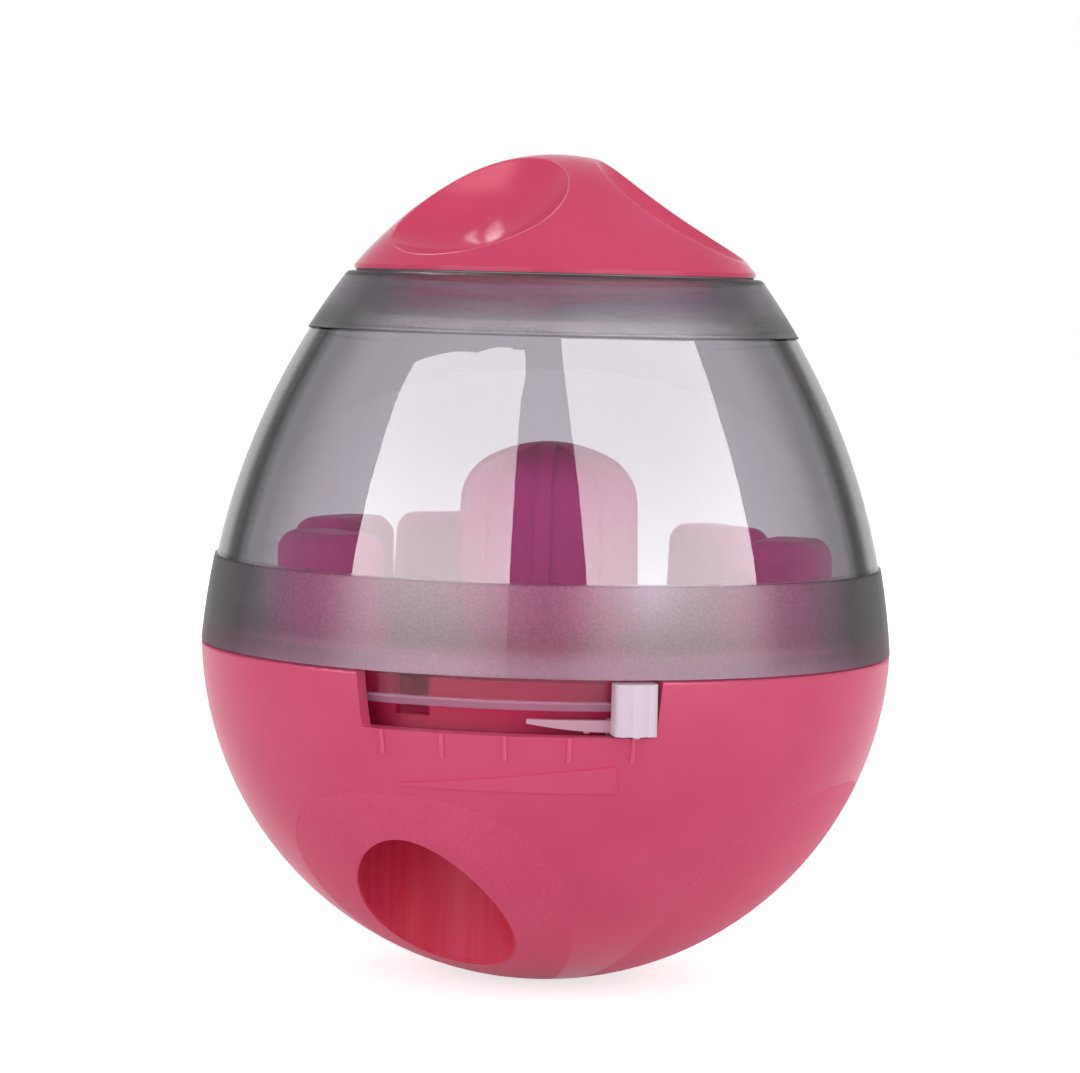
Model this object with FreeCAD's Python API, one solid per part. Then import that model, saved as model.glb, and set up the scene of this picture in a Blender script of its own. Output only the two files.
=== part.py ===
import FreeCAD, Part
import math
import os
from FreeCAD import Vector

# An egg-shaped tumbler that deals out pet treats as it rocks. Treats are filled in through the screw cap,
# roll about between the posts of the labyrinth tray, drop through a round opening in its floor and leave by
# an upright chute in the bowl. A flat gate turns under the tray, moved by a knob in the window of the rim,
# and closes the chute as far as wanted. A steel weight in the bottom makes the toy stand up again.
#
# Millimetres, +Z up, the origin under the middle of the foot. The window faces -Y. An azimuth is in degrees,
# 0 at the window's middle and growing anticlockwise seen from above, so towards +X.

# Bowl
BOWL_RADIUS = 56.0
BOWL_WALL = 2.4
FOOT_RADIUS = 7.0
RIM_HEIGHT = 53.8
RIM_ROUNDING = 0.4
FLOOR_HEIGHT = 4.6

# Window in the bowl's rim, with the scale below it
SILL_DROP = 8.5
WINDOW_HALF_ANGLE = 23.75
WINDOW_LEAN = 4.5
WINDOW_CORNER = 0.5
TICK_COUNT = 5
TICK_PITCH = 10.1
TICK_WIDTH = 0.6
TICK_HEIGHT = 3.8
RELIEF_PROUD = 0.25
WEDGE_DROP = 17.1
WEDGE_HEIGHT = 4.2
WEDGE_HALF_LENGTH = 16.6
WEDGE_TIP = 0.3

# Treat chute, an upright round tube moulded into the bowl
CHUTE_AZIMUTH = -20.2
CHUTE_INSET = 20.1
CHUTE_RADIUS = 12.24
CHUTE_WALL = 1.8
CHUTE_MOUTH_ROUNDING = 0.25

# Deck over the lower compartment
DECK_GAP = 1.0
DECK_DROP = 15.3
DECK_THICKNESS = 2.2
DECK_HOLE_RADIUS = 12.0
PIVOT_RADIUS = 7.0
PIVOT_HEIGHT = 2.0
PAD_RADIUS = 6.2
PAD_DEPTH = 2.5
PAD_FLOOR = 2.1

# Fasteners and the bosses that they go into
SCREW_AZIMUTHS = (75.0, 165.0, 255.0)
SCREW_CIRCLE_INSET = 20.0
SCREW_HEAD_RADIUS = 4.4
SCREW_HEAD_HEIGHT = 2.0
SCREW_SHANK_RADIUS = 1.45
SCREW_LENGTH = 9.0
SCREW_CLEARANCE = 0.05
HEAD_CLEARANCE = 0.5
BOSS_RADIUS = 3.4
BOSS_GUSSET_THICKNESS = 1.4
BOSS_GUSSET_REACH = 4.5

# Counterweight
WEIGHT_RADIUS = 20.5
WEIGHT_HEIGHT = 11.4
WEIGHT_BEVEL_HEIGHT = 3.3
WEIGHT_BEVEL_WIDTH = 4.7
WEIGHT_EDGE = 0.8
WEIGHT_HOLE_CLEARANCE = 0.3

# Gate with its knob and detent finger
GATE_LIFT = 0.2
GATE_THICKNESS = 1.5
GATE_BORE_CLEARANCE = 0.08
GATE_APERTURE_RADIUS = 11.4
RISER_LAP = 0.8
RISER_WALL = 1.6
ARM_HALF_ANGLE = 3.2
ARM_THICKNESS = 1.8
KNOB_HALF_ANGLE = 3.35
KNOB_PROUD = 1.1
KNOB_TOP_GAP = 0.3
KNOB_ROUNDING = 1.2
KNOB_GROOVE_RADIUS = 0.5
KNOB_GROOVE_DEPTH = 0.25
KNOB_GROOVE_SPACING = 1.25
KNOB_NUB_WIDTH = 0.8
KNOB_NUB_DROP = 0.25
SILL_CLEARANCE = 0.5
FINGER_GAP = 0.4
FINGER_WALL = 1.3
FINGER_LENGTH = 12.5
FINGER_TIP_HEIGHT = 0.6
FINGER_NUB_ANGLE = 10.0
FINGER_NUB_WIDTH = 0.8
FINGER_NUB_DROP = 0.15
DETENT_HEIGHT = 0.3
DETENT_WIDTH = 1.2
SILL_LEDGE_SETBACK = 0.2
SILL_LEDGE_THICKNESS = 2.0
SILL_LEDGE_MARGIN = 2.0

# Labyrinth tray
TRAY_LEDGE_WIDTH = 1.3
TRAY_LEDGE_THICKNESS = 2.0
TRAY_HEIGHT_OVER_DECK = 2.3
TRAY_FLOOR_THICKNESS = 1.8
TRAY_FLANGE_GAP = 0.6
TRAY_RIM_GAP = 0.3
TRAY_RIM_WALL = 1.6
TRAY_RIM_DROP = 0.9
TRAY_OPENING_RADIUS = 10.6
TRAY_WALL = 1.8
TRAY_NOTCH_AZIMUTH = -18.2
TRAY_NOTCH_HALF_ANGLE = 3.4
TRAY_NOTCH_DEPTH = 5.9
KEY_AZIMUTH = 180.0
KEY_HALF_WIDTH = 1.9
KEY_HEIGHT = 1.5
KEY_CLEARANCE = 0.3
TOWER_RADIUS = 13.7
TOWER_DRAFT = 1.0
TOWER_RISE = 32.4
TOWER_CROWN = 9.4
TOWER_CORNER_RADIUS = 8.0
TOWER_TURN = 2.0
TOWER_RIB_COUNT = 8
TOWER_RIB_WIDTH = 2.6
TOWER_RIB_PROUD = 0.7
# Each post's azimuth and how far its middle is from the outside of the tray's rim
POSTS = ((-51.5, 8.7), (-114.0, 8.7), (-149.0, 8.7), (128.0, 14.7), (78.0, 8.7))
POST_WIDTH = 20.0
POST_DEPTH = 13.0
POST_RISE = 19.0
POST_CORNER_RADIUS = 4.5
POST_TOP_ROUNDING = 3.2
POST_DRAFT = 0.6

# Dome, one smoky moulding with two frosted bands
DOME_GAP = 0.3
DOME_ARC_RADIUS = 114.5
DOME_RISE = 60.2
DOME_TOP_RADIUS = 33.5
DOME_TOP_ROUNDING = 1.1
DOME_WALL = 2.4
BAND_PROUD = 0.35
BAND_RISE = 14.1
COLLAR_DEPTH = 9.3
ROOF_THICKNESS = 2.1
NECK_BORE_RADIUS = 29.4
NECK_TUBE_WALL = 1.9
NECK_DEPTH = 7.7
SKIRT_GAP = 0.4
SKIRT_WALL = 1.9
SKIRT_DEPTH = 5.2
SKIRT_BEVEL = 1.1
LUG_AZIMUTHS = (60.0, 180.0, 300.0)
LUG_HALF_ANGLE = 5.0
LUG_PROUD = 1.1
LUG_LIFT = 0.5
LUG_THICKNESS = 1.8
LUG_CLEARANCE = 0.3
DOME_TURN = 25.0

# Sealing ring between dome and cap
SEAL_INNER_RADIUS = 29.9
SEAL_OUTER_RADIUS = 32.2
SEAL_THICKNESS = 0.3

# Scooped screw cap
CAP_RADIUS = 32.5
CAP_EDGE_HEIGHT = 0.7
CAP_HEIGHT = 19.15
CAP_SHOULDER_RADIUS = 17.0
CAP_SHOULDER_DROP = 4.9
CAP_FLANK_RADIUS = 63.0
CAP_WALL = 2.2
CAP_NECK_RADIUS = 27.9
CAP_NECK_WALL = 2.0
CAP_NECK_DEPTH = 7.3
SCOOP_COUNT = 3
SCOOP_AZIMUTH = -35.0
SCOOP_DISTANCE = 18.0
SCOOP_DROP = 8.9
SCOOP_SLOPE = 35.8
SCOOP_RADIUS = 19.6
SCOOP_DEPTH = 5.7
SCOOP_BARREL_RADIUS = 24.6
SCOOP_ROUNDING = 0.5

# What follows from the sizes above
BOWL_CENTRE = math.sqrt(BOWL_RADIUS ** 2 - FOOT_RADIUS ** 2)
BOWL_INNER_RADIUS = BOWL_RADIUS - BOWL_WALL
WINDOW_SILL = RIM_HEIGHT - SILL_DROP
WEDGE_FOOT = RIM_HEIGHT - WEDGE_DROP
WEIGHT_TOP = FLOOR_HEIGHT + WEIGHT_HEIGHT


def wall_inside(height):
    """The bowl's inner radius at a height."""
    return math.sqrt(BOWL_INNER_RADIUS ** 2 - (height - BOWL_CENTRE) ** 2)


CHUTE_DISTANCE = BOWL_RADIUS - CHUTE_INSET
SCREW_CIRCLE_RADIUS = BOWL_RADIUS - SCREW_CIRCLE_INSET
DECK_UNDERSIDE = RIM_HEIGHT - DECK_DROP
DECK_TOP = DECK_UNDERSIDE + DECK_THICKNESS
DECK_RADIUS = wall_inside(DECK_UNDERSIDE) - DECK_GAP
PAD_UNDERSIDE = DECK_UNDERSIDE - PAD_DEPTH
PAD_TOP = PAD_UNDERSIDE + PAD_FLOOR

GATE_RADIUS = DECK_RADIUS
GATE_UNDERSIDE = DECK_TOP + GATE_LIFT
GATE_TOP = GATE_UNDERSIDE + GATE_THICKNESS
RISER_INNER_RADIUS = GATE_RADIUS - RISER_LAP
RISER_OUTER_RADIUS = RISER_INNER_RADIUS + RISER_WALL
KNOB_OUTER_RADIUS = BOWL_RADIUS + KNOB_PROUD
KNOB_AZIMUTH = TICK_PITCH * (TICK_COUNT - 1) / 2
GATE_TRAVEL = TICK_PITCH * (TICK_COUNT - 1)
ARM_FOOT = WINDOW_SILL + SILL_CLEARANCE
ARM_TOP = ARM_FOOT + ARM_THICKNESS
FINGER_OUTER_RADIUS = wall_inside(WINDOW_SILL) - FINGER_GAP
FINGER_INNER_RADIUS = FINGER_OUTER_RADIUS - FINGER_WALL
FINGER_TIP = KNOB_AZIMUTH - KNOB_HALF_ANGLE - math.degrees(FINGER_LENGTH / FINGER_OUTER_RADIUS)
FINGER_NUB = FINGER_TIP + FINGER_NUB_ANGLE
SILL_LEDGE_RADIUS = FINGER_INNER_RADIUS + SILL_LEDGE_SETBACK
SILL_LEDGE_START = FINGER_TIP - GATE_TRAVEL - SILL_LEDGE_MARGIN
SILL_LEDGE_END = WINDOW_HALF_ANGLE + SILL_LEDGE_MARGIN

TRAY_UNDERSIDE = DECK_TOP + TRAY_HEIGHT_OVER_DECK
TRAY_FLOOR = TRAY_UNDERSIDE + TRAY_FLOOR_THICKNESS
TRAY_FLANGE_RADIUS = wall_inside(TRAY_UNDERSIDE) - TRAY_FLANGE_GAP
TRAY_LEDGE_RADIUS = TRAY_FLANGE_RADIUS - TRAY_LEDGE_WIDTH
TRAY_RIM_OUTER_RADIUS = RISER_INNER_RADIUS - TRAY_RIM_GAP
TRAY_RIM_TOP = RIM_HEIGHT - TRAY_RIM_DROP
TRAY_NOTCH_FOOT = TRAY_RIM_TOP - TRAY_NOTCH_DEPTH
TOWER_TOP = RIM_HEIGHT + TOWER_RISE
TOWER_SHOULDER = TOWER_TOP - TOWER_CROWN
POST_TOP = RIM_HEIGHT + POST_RISE

DOME_FOOT = RIM_HEIGHT + DOME_GAP
DOME_TOP = RIM_HEIGHT + DOME_RISE
BAND_TOP = RIM_HEIGHT + BAND_RISE
COLLAR_FOOT = DOME_TOP - COLLAR_DEPTH
SKIRT_FOOT = DOME_FOOT - SKIRT_DEPTH
SKIRT_RADIUS = wall_inside(SKIRT_FOOT) - SKIRT_GAP
CAP_FOOT = DOME_TOP + SEAL_THICKNESS
CAP_TOP = CAP_FOOT + CAP_HEIGHT

UP = Vector(0, 0, 1)
ORIGIN = Vector(0, 0, 0)
FULL_TURN = 360.0
FAR = 200.0


def place(azimuth, radius, height):
    """The point at an azimuth, a distance from the axis and a height."""
    angle = math.radians(azimuth)
    return Vector(radius * math.sin(angle), -radius * math.cos(angle), height)


def across(radius, height, centre=0.0, middle=BOWL_CENTRE):
    """How far from the axis a round of this radius is at a height; its centre lies at centre, middle."""
    return centre + math.sqrt(radius ** 2 - (height - middle) ** 2)


def outline(start, *steps):
    """A face at azimuth 0 from (distance, height) pairs; a step of two pairs is an arc through the first."""
    edges = []
    here = place(0, *start)
    for step in steps:
        if isinstance(step[0], tuple):
            there = place(0, *step[1])
            edges.append(Part.Arc(here, place(0, *step[0]), there).toShape())
        else:
            there = place(0, *step)
            edges.append(Part.LineSegment(here, there).toShape())
        here = there
    first = place(0, *start)
    if not here.isEqual(first, 1e-6):
        edges.append(Part.LineSegment(here, first).toShape())
    return Part.Face(Part.Wire(edges))


def arc_middle(start, end, radius):
    """The point halfway along the arc of this radius that bulges up and out from start to end."""
    run = end[0] - start[0]
    rise = end[1] - start[1]
    chord = math.hypot(run, rise)
    bulge = radius - math.sqrt(radius ** 2 - (chord / 2) ** 2)
    return (
        (start[0] + end[0]) / 2 - bulge * rise / chord,
        (start[1] + end[1]) / 2 + bulge * run / chord,
    )


def crown(radius, foot, top):
    """A step of an outline that closes it with a piece of a ball, from a radius up to the axis."""
    height = top - foot
    ball_radius = (radius ** 2 + height ** 2) / (2 * height)
    half = math.asin(radius / ball_radius) / 2
    return ((ball_radius * math.sin(half), top - ball_radius * (1 - math.cos(half))), (0, top))


def turned(face, start=0.0, end=FULL_TURN):
    """The face turned about the upright axis from one azimuth to another."""
    face.rotate(ORIGIN, UP, start)
    return face.revolve(ORIGIN, UP, end - start)


def ring(inner, outer, foot, top, start=0.0, end=FULL_TURN):
    """A flat ring, or a piece of one between two azimuths."""
    face = outline((inner, foot), (outer, foot), (outer, top), (inner, top))
    return turned(face, start, end)


def rod(radius, foot, top, azimuth=0.0, distance=0.0):
    """An upright round bar."""
    return Part.makeCylinder(radius, top - foot, place(azimuth, distance, foot))


def block(width, inner, outer, foot, top, azimuth=0.0):
    """A box across an azimuth, from an inner to an outer distance."""
    box = Part.makeBox(width, outer - inner, top - foot, Vector(-width / 2, -outer, foot))
    box.rotate(ORIGIN, UP, azimuth)
    return box


def ball(radius):
    """A ball about the bowl's centre."""
    return Part.makeSphere(radius, Vector(0, 0, BOWL_CENTRE))


def rounded(shape, radius, chosen):
    """The shape with every edge rounded that the test chooses."""
    edges = [edge for edge in shape.Edges if chosen(edge)]
    return shape.makeFillet(radius, edges)


def lies_at(edge, height):
    """Whether a whole edge lies at one height."""
    box = edge.BoundBox
    return abs(box.ZMin - height) < 1e-3 and abs(box.ZMax - height) < 1e-3


def is_upright(edge):
    """Whether an edge runs straight up."""
    box = edge.BoundBox
    return box.XLength < 1e-3 and box.YLength < 1e-3


def fused(base, *others):
    """One solid out of several that meet."""
    return base.fuse(list(others)).removeSplitter()


# Bowl


def bowl_shell():
    """The round shell with its flat foot, its flat floor inside and a rounded rim."""
    side = math.sqrt(0.5)
    rim = across(BOWL_RADIUS, RIM_HEIGHT)
    inner_rim = across(BOWL_INNER_RADIUS, RIM_HEIGHT)
    floor_radius = across(BOWL_INNER_RADIUS, FLOOR_HEIGHT)
    below_rim = RIM_HEIGHT - RIM_ROUNDING
    turn = RIM_ROUNDING * (1 - side)
    face = outline(
        (0, 0),
        (FOOT_RADIUS, 0),
        ((BOWL_RADIUS * side, BOWL_CENTRE - BOWL_RADIUS * side), (across(BOWL_RADIUS, below_rim), below_rim)),
        ((rim - turn, RIM_HEIGHT - turn), (rim - RIM_ROUNDING, RIM_HEIGHT)),
        (inner_rim, RIM_HEIGHT),
        ((BOWL_INNER_RADIUS * side, BOWL_CENTRE - BOWL_INNER_RADIUS * side), (floor_radius, FLOOR_HEIGHT)),
        (0, FLOOR_HEIGHT),
    )
    return turned(face)


def tick_azimuths():
    """Where the marks of the scale are."""
    return [(index - (TICK_COUNT - 1) / 2) * TICK_PITCH for index in range(TICK_COUNT)]


def scale_relief():
    """The raised marks under the window and the wedge that shows which way the gate opens."""
    marks = []
    for azimuth in tick_azimuths():
        marks.append(
            block(TICK_WIDTH, BOWL_INNER_RADIUS, FAR, WINDOW_SILL - TICK_HEIGHT, WINDOW_SILL, azimuth)
        )
    corners = (
        (-WEDGE_HALF_LENGTH, WEDGE_FOOT),
        (WEDGE_HALF_LENGTH, WEDGE_FOOT),
        (WEDGE_HALF_LENGTH, WEDGE_FOOT + WEDGE_HEIGHT),
        (-WEDGE_HALF_LENGTH, WEDGE_FOOT + WEDGE_TIP),
    )
    points = [Vector(x, -FAR, z) for x, z in corners]
    wedge = Part.Face(Part.makePolygon(points + points[:1])).extrude(Vector(0, FAR, 0))
    hollow = ball(BOWL_RADIUS - BOWL_WALL / 2)
    return marks[0].fuse(marks[1:] + [wedge]).common(ball(BOWL_RADIUS + RELIEF_PROUD)).cut(hollow)


def chute_tube():
    """The upright tube over the chute's mouth, up to the deck."""
    tube = rod(CHUTE_RADIUS + CHUTE_WALL, 0, DECK_UNDERSIDE, CHUTE_AZIMUTH, CHUTE_DISTANCE)
    return tube.common(ball(BOWL_RADIUS - BOWL_WALL / 2))


def screw_boss(azimuth):
    """A boss for a deck screw, with two gussets and its pilot hole still to be drilled."""
    boss = rod(BOSS_RADIUS, FLOOR_HEIGHT, PAD_UNDERSIDE, azimuth, SCREW_CIRCLE_RADIUS)
    gusset = block(
        BOSS_GUSSET_THICKNESS,
        SCREW_CIRCLE_RADIUS - BOSS_RADIUS - BOSS_GUSSET_REACH,
        SCREW_CIRCLE_RADIUS + BOSS_RADIUS + BOSS_GUSSET_REACH,
        FLOOR_HEIGHT,
        PAD_UNDERSIDE - BOSS_GUSSET_REACH,
        azimuth,
    )
    return boss.fuse(gusset).common(ball(BOWL_RADIUS - BOWL_WALL / 2))


def pilot_hole(azimuth, distance, top):
    """The hole that a screw cuts its thread in."""
    depth = SCREW_LENGTH + BOSS_RADIUS
    return rod(SCREW_SHANK_RADIUS + SCREW_CLEARANCE, top - depth, top, azimuth, distance)


def inner_ledges():
    """The ledge that the tray rests on, its key, and the sill ledge with the detents of the gate."""
    foot = TRAY_UNDERSIDE - TRAY_LEDGE_THICKNESS
    tray_ledge = ring(
        TRAY_LEDGE_RADIUS, BOWL_RADIUS, foot, TRAY_UNDERSIDE, SILL_LEDGE_END, FULL_TURN + SILL_LEDGE_START
    )
    key = block(
        2 * KEY_HALF_WIDTH, TRAY_LEDGE_RADIUS, BOWL_RADIUS, foot, TRAY_UNDERSIDE + KEY_HEIGHT, KEY_AZIMUTH
    )
    sill_ledge = ring(
        SILL_LEDGE_RADIUS,
        BOWL_RADIUS,
        WINDOW_SILL - SILL_LEDGE_THICKNESS,
        WINDOW_SILL,
        SILL_LEDGE_START,
        SILL_LEDGE_END,
    )
    detents = []
    for index in range(1, TICK_COUNT):
        azimuth = FINGER_NUB + (0.5 - index) * TICK_PITCH
        detents.append(
            block(
                DETENT_WIDTH,
                SILL_LEDGE_RADIUS,
                BOWL_RADIUS,
                WINDOW_SILL - DETENT_HEIGHT,
                WINDOW_SILL + DETENT_HEIGHT,
                azimuth,
            )
        )
    return tray_ledge.fuse([key, sill_ledge] + detents).common(ball(BOWL_RADIUS - BOWL_WALL / 2))


def bayonet_slot(azimuth):
    """The slot that a lug of the dome drops into and then turns along."""
    foot = SKIRT_FOOT + LUG_LIFT - LUG_CLEARANCE
    top = SKIRT_FOOT + LUG_LIFT + LUG_THICKNESS + LUG_CLEARANCE
    outer = SKIRT_RADIUS + LUG_PROUD + LUG_CLEARANCE
    margin = math.degrees(LUG_CLEARANCE / SKIRT_RADIUS)
    start = azimuth - LUG_HALF_ANGLE - margin
    end = azimuth + LUG_HALF_ANGLE + margin
    track = ring(SKIRT_RADIUS - LUG_PROUD, outer, foot, top, start, end + DOME_TURN)
    entry = ring(SKIRT_RADIUS - LUG_PROUD, outer, foot, RIM_HEIGHT, start + DOME_TURN, end + DOME_TURN)
    return track.fuse(entry)


def window():
    """What the window takes out of the rim: its ends lean apart upwards and its lower corners are round."""
    reach = WINDOW_HALF_ANGLE + 2 * WINDOW_LEAN
    tool = ring(SILL_LEDGE_RADIUS, FAR, WINDOW_SILL, 2 * RIM_HEIGHT, -reach, reach)
    for side in (-1, 1):
        beyond = Part.makeBox(FAR, 2 * FAR, 2 * FAR, Vector(min(0, side * FAR), -FAR, WINDOW_SILL - FAR))
        beyond.rotate(Vector(0, 0, WINDOW_SILL), Vector(0, 1, 0), side * WINDOW_LEAN)
        beyond.rotate(ORIGIN, UP, side * WINDOW_HALF_ANGLE)
        tool = tool.cut(beyond)

    def lower_corner(edge):
        return lies_at(edge, WINDOW_SILL) and isinstance(edge.Curve, Part.Line)

    return rounded(tool, WINDOW_CORNER, lower_corner)


def bowl():
    """The lower half: shell, chute, bosses, ledges, window and scale in one moulding."""
    solid = bowl_shell()
    weight_boss = rod(BOSS_RADIUS, FLOOR_HEIGHT - BOWL_WALL, WEIGHT_TOP - SCREW_CLEARANCE)
    bosses = [screw_boss(azimuth) for azimuth in SCREW_AZIMUTHS]
    solid = solid.fuse([chute_tube(), inner_ledges(), scale_relief(), weight_boss] + bosses)
    cuts = [rod(CHUTE_RADIUS, 0, DECK_UNDERSIDE, CHUTE_AZIMUTH, CHUTE_DISTANCE)]
    cuts += [pilot_hole(azimuth, SCREW_CIRCLE_RADIUS, PAD_UNDERSIDE) for azimuth in SCREW_AZIMUTHS]
    cuts.append(pilot_hole(0, 0, WEIGHT_TOP - SCREW_CLEARANCE))
    cuts += [bayonet_slot(azimuth) for azimuth in LUG_AZIMUTHS]
    cuts.append(window())
    solid = solid.cut(cuts).removeSplitter()
    chute_axis = place(CHUTE_AZIMUTH, CHUTE_DISTANCE, 0)
    centre = Vector(0, 0, BOWL_CENTRE)

    def chute_mouth(edge):
        points = edge.discretize(7)
        beside = [abs(math.hypot(p.x - chute_axis.x, p.y - chute_axis.y) - CHUTE_RADIUS) < 1e-2 for p in points]
        outside = [abs((p - centre).Length - BOWL_RADIUS) < 1e-2 for p in points]
        return all(beside) and all(outside)

    return rounded(solid, CHUTE_MOUTH_ROUNDING, chute_mouth)


# Lower compartment


def counterweight():
    """The turned steel weight, bevelled to stay clear of the round shell."""
    hole = BOSS_RADIUS + WEIGHT_HOLE_CLEARANCE
    face = outline(
        (hole, FLOOR_HEIGHT),
        (WEIGHT_RADIUS - WEIGHT_BEVEL_WIDTH, FLOOR_HEIGHT),
        (WEIGHT_RADIUS, FLOOR_HEIGHT + WEIGHT_BEVEL_HEIGHT),
        (WEIGHT_RADIUS, WEIGHT_TOP - WEIGHT_EDGE),
        (WEIGHT_RADIUS - WEIGHT_EDGE, WEIGHT_TOP),
        (hole, WEIGHT_TOP),
    )
    return turned(face)


def screw(azimuth, distance, seat):
    """A self-tapping screw with a flanged, domed head and a cross recess, seated at a height."""
    tip = 1.2
    brim = seat + SCREW_HEAD_HEIGHT * 0.3
    face = outline(
        (0, seat - SCREW_LENGTH),
        (SCREW_SHANK_RADIUS * 0.4, seat - SCREW_LENGTH),
        (SCREW_SHANK_RADIUS, seat - SCREW_LENGTH + tip),
        (SCREW_SHANK_RADIUS, seat),
        (SCREW_HEAD_RADIUS, seat),
        (SCREW_HEAD_RADIUS, brim),
        crown(SCREW_HEAD_RADIUS, brim, seat + SCREW_HEAD_HEIGHT),
    )
    solid = turned(face)
    top = seat + SCREW_HEAD_HEIGHT
    for turn in (0, 90):
        solid = solid.cut(block(0.8, -1.7, 1.7, top - 1.1, top, turn))
    solid.translate(place(azimuth, distance, 0))
    return solid


def screws():
    """The three deck screws and the one through the counterweight, all alike."""
    solids = [screw(azimuth, SCREW_CIRCLE_RADIUS, PAD_TOP) for azimuth in SCREW_AZIMUTHS]
    solids.append(screw(0, 0, WEIGHT_TOP))
    return Part.makeCompound(solids)


def deck():
    """The plate that closes the lower compartment and carries the gate on its pivot."""
    plate = rod(DECK_RADIUS, DECK_UNDERSIDE, DECK_TOP)
    pivot = rod(PIVOT_RADIUS, DECK_TOP, DECK_TOP + PIVOT_HEIGHT)
    pads = [rod(PAD_RADIUS, PAD_UNDERSIDE, DECK_TOP, azimuth, SCREW_CIRCLE_RADIUS) for azimuth in SCREW_AZIMUTHS]
    solid = fused(plate, pivot, *pads)
    cuts = [rod(DECK_HOLE_RADIUS, DECK_UNDERSIDE, DECK_TOP, CHUTE_AZIMUTH, CHUTE_DISTANCE)]
    for azimuth in SCREW_AZIMUTHS:
        cuts.append(rod(SCREW_HEAD_RADIUS + HEAD_CLEARANCE, PAD_TOP, DECK_TOP, azimuth, SCREW_CIRCLE_RADIUS))
        cuts.append(
            rod(SCREW_SHANK_RADIUS + SCREW_CLEARANCE, PAD_UNDERSIDE, PAD_TOP, azimuth, SCREW_CIRCLE_RADIUS)
        )
    return solid.cut(cuts)


# Gate


def knob():
    """The grip in the window, with two upright grooves in its face and a nub under it."""
    foot = WINDOW_SILL + SILL_CLEARANCE - RELIEF_PROUD / 2
    top = RIM_HEIGHT - KNOB_TOP_GAP
    inner = SKIRT_RADIUS + LUG_CLEARANCE + BAND_PROUD / 2
    grip = ring(inner, KNOB_OUTER_RADIUS, foot, top, -KNOB_HALF_ANGLE, KNOB_HALF_ANGLE)
    front = KNOB_OUTER_RADIUS * math.cos(math.radians(KNOB_HALF_ANGLE))
    grip = rounded(grip, KNOB_ROUNDING, lambda edge: is_upright(edge) and edge.BoundBox.YMax < 1e-3 - front)
    for side in (-1, 1):
        out = KNOB_OUTER_RADIUS + KNOB_GROOVE_RADIUS - KNOB_GROOVE_DEPTH
        axis = Vector(side * KNOB_GROOVE_SPACING, -out, foot)
        grip = grip.cut(Part.makeCylinder(KNOB_GROOVE_RADIUS, top - foot, axis, UP))
    nub = block(KNOB_NUB_WIDTH, BOWL_RADIUS, KNOB_OUTER_RADIUS - KNOB_NUB_DROP, foot - KNOB_NUB_DROP, top - 1)
    grip = grip.fuse(nub)
    grip.rotate(ORIGIN, UP, KNOB_AZIMUTH)
    return grip


def detent_finger():
    """The springy finger beside the knob, thinner towards its tip, with the nub that clicks in the detents."""
    root = KNOB_AZIMUTH - ARM_HALF_ANGLE
    strip = ring(FINGER_INNER_RADIUS, FINGER_OUTER_RADIUS, ARM_FOOT, ARM_TOP, FINGER_TIP, root)
    half = FINGER_LENGTH / 2
    low = ARM_FOOT - 1
    slim = ARM_TOP - FINGER_TIP_HEIGHT
    sag = ARM_FOOT + 0.3 * (slim - ARM_FOOT)
    corners = (Vector(half, 0, ARM_FOOT), Vector(half, 0, low), Vector(-half - 1, 0, low), Vector(-half - 1, 0, slim))
    edges = [Part.Arc(Vector(-half, 0, slim), Vector(0, 0, sag), corners[0]).toShape()]
    edges.append(Part.makePolygon(corners + (Vector(-half, 0, slim),)))
    below = Part.Face(Part.Wire(edges)).extrude(Vector(0, -FAR, 0))
    below.rotate(ORIGIN, UP, (FINGER_TIP + KNOB_AZIMUTH - KNOB_HALF_ANGLE) / 2)
    nub = block(
        FINGER_NUB_WIDTH,
        FINGER_INNER_RADIUS + FINGER_TIP_HEIGHT / 2,
        FINGER_OUTER_RADIUS - FINGER_TIP_HEIGHT / 2,
        ARM_FOOT - FINGER_NUB_DROP,
        ARM_TOP - FINGER_TIP_HEIGHT / 2,
        FINGER_NUB,
    )
    return strip.cut(below).fuse(nub)


def gate():
    """The flat shutter with its aperture, the riser and arm that reach the window, knob and finger."""
    disc = rod(GATE_RADIUS, GATE_UNDERSIDE, GATE_TOP)
    start = KNOB_AZIMUTH - ARM_HALF_ANGLE
    end = KNOB_AZIMUTH + ARM_HALF_ANGLE
    riser = ring(RISER_INNER_RADIUS, RISER_OUTER_RADIUS, GATE_UNDERSIDE, ARM_TOP, start, end)
    arm = ring(RISER_INNER_RADIUS, (SKIRT_RADIUS + BOWL_RADIUS) / 2, ARM_FOOT, ARM_TOP, start, end)
    solid = fused(disc, riser, arm, knob(), detent_finger())
    bore = rod(PIVOT_RADIUS + GATE_BORE_CLEARANCE, GATE_UNDERSIDE, GATE_TOP)
    aperture = rod(GATE_APERTURE_RADIUS, GATE_UNDERSIDE, GATE_TOP, CHUTE_AZIMUTH, CHUTE_DISTANCE)
    return solid.cut([bore, aperture])


# Labyrinth tray


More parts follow.
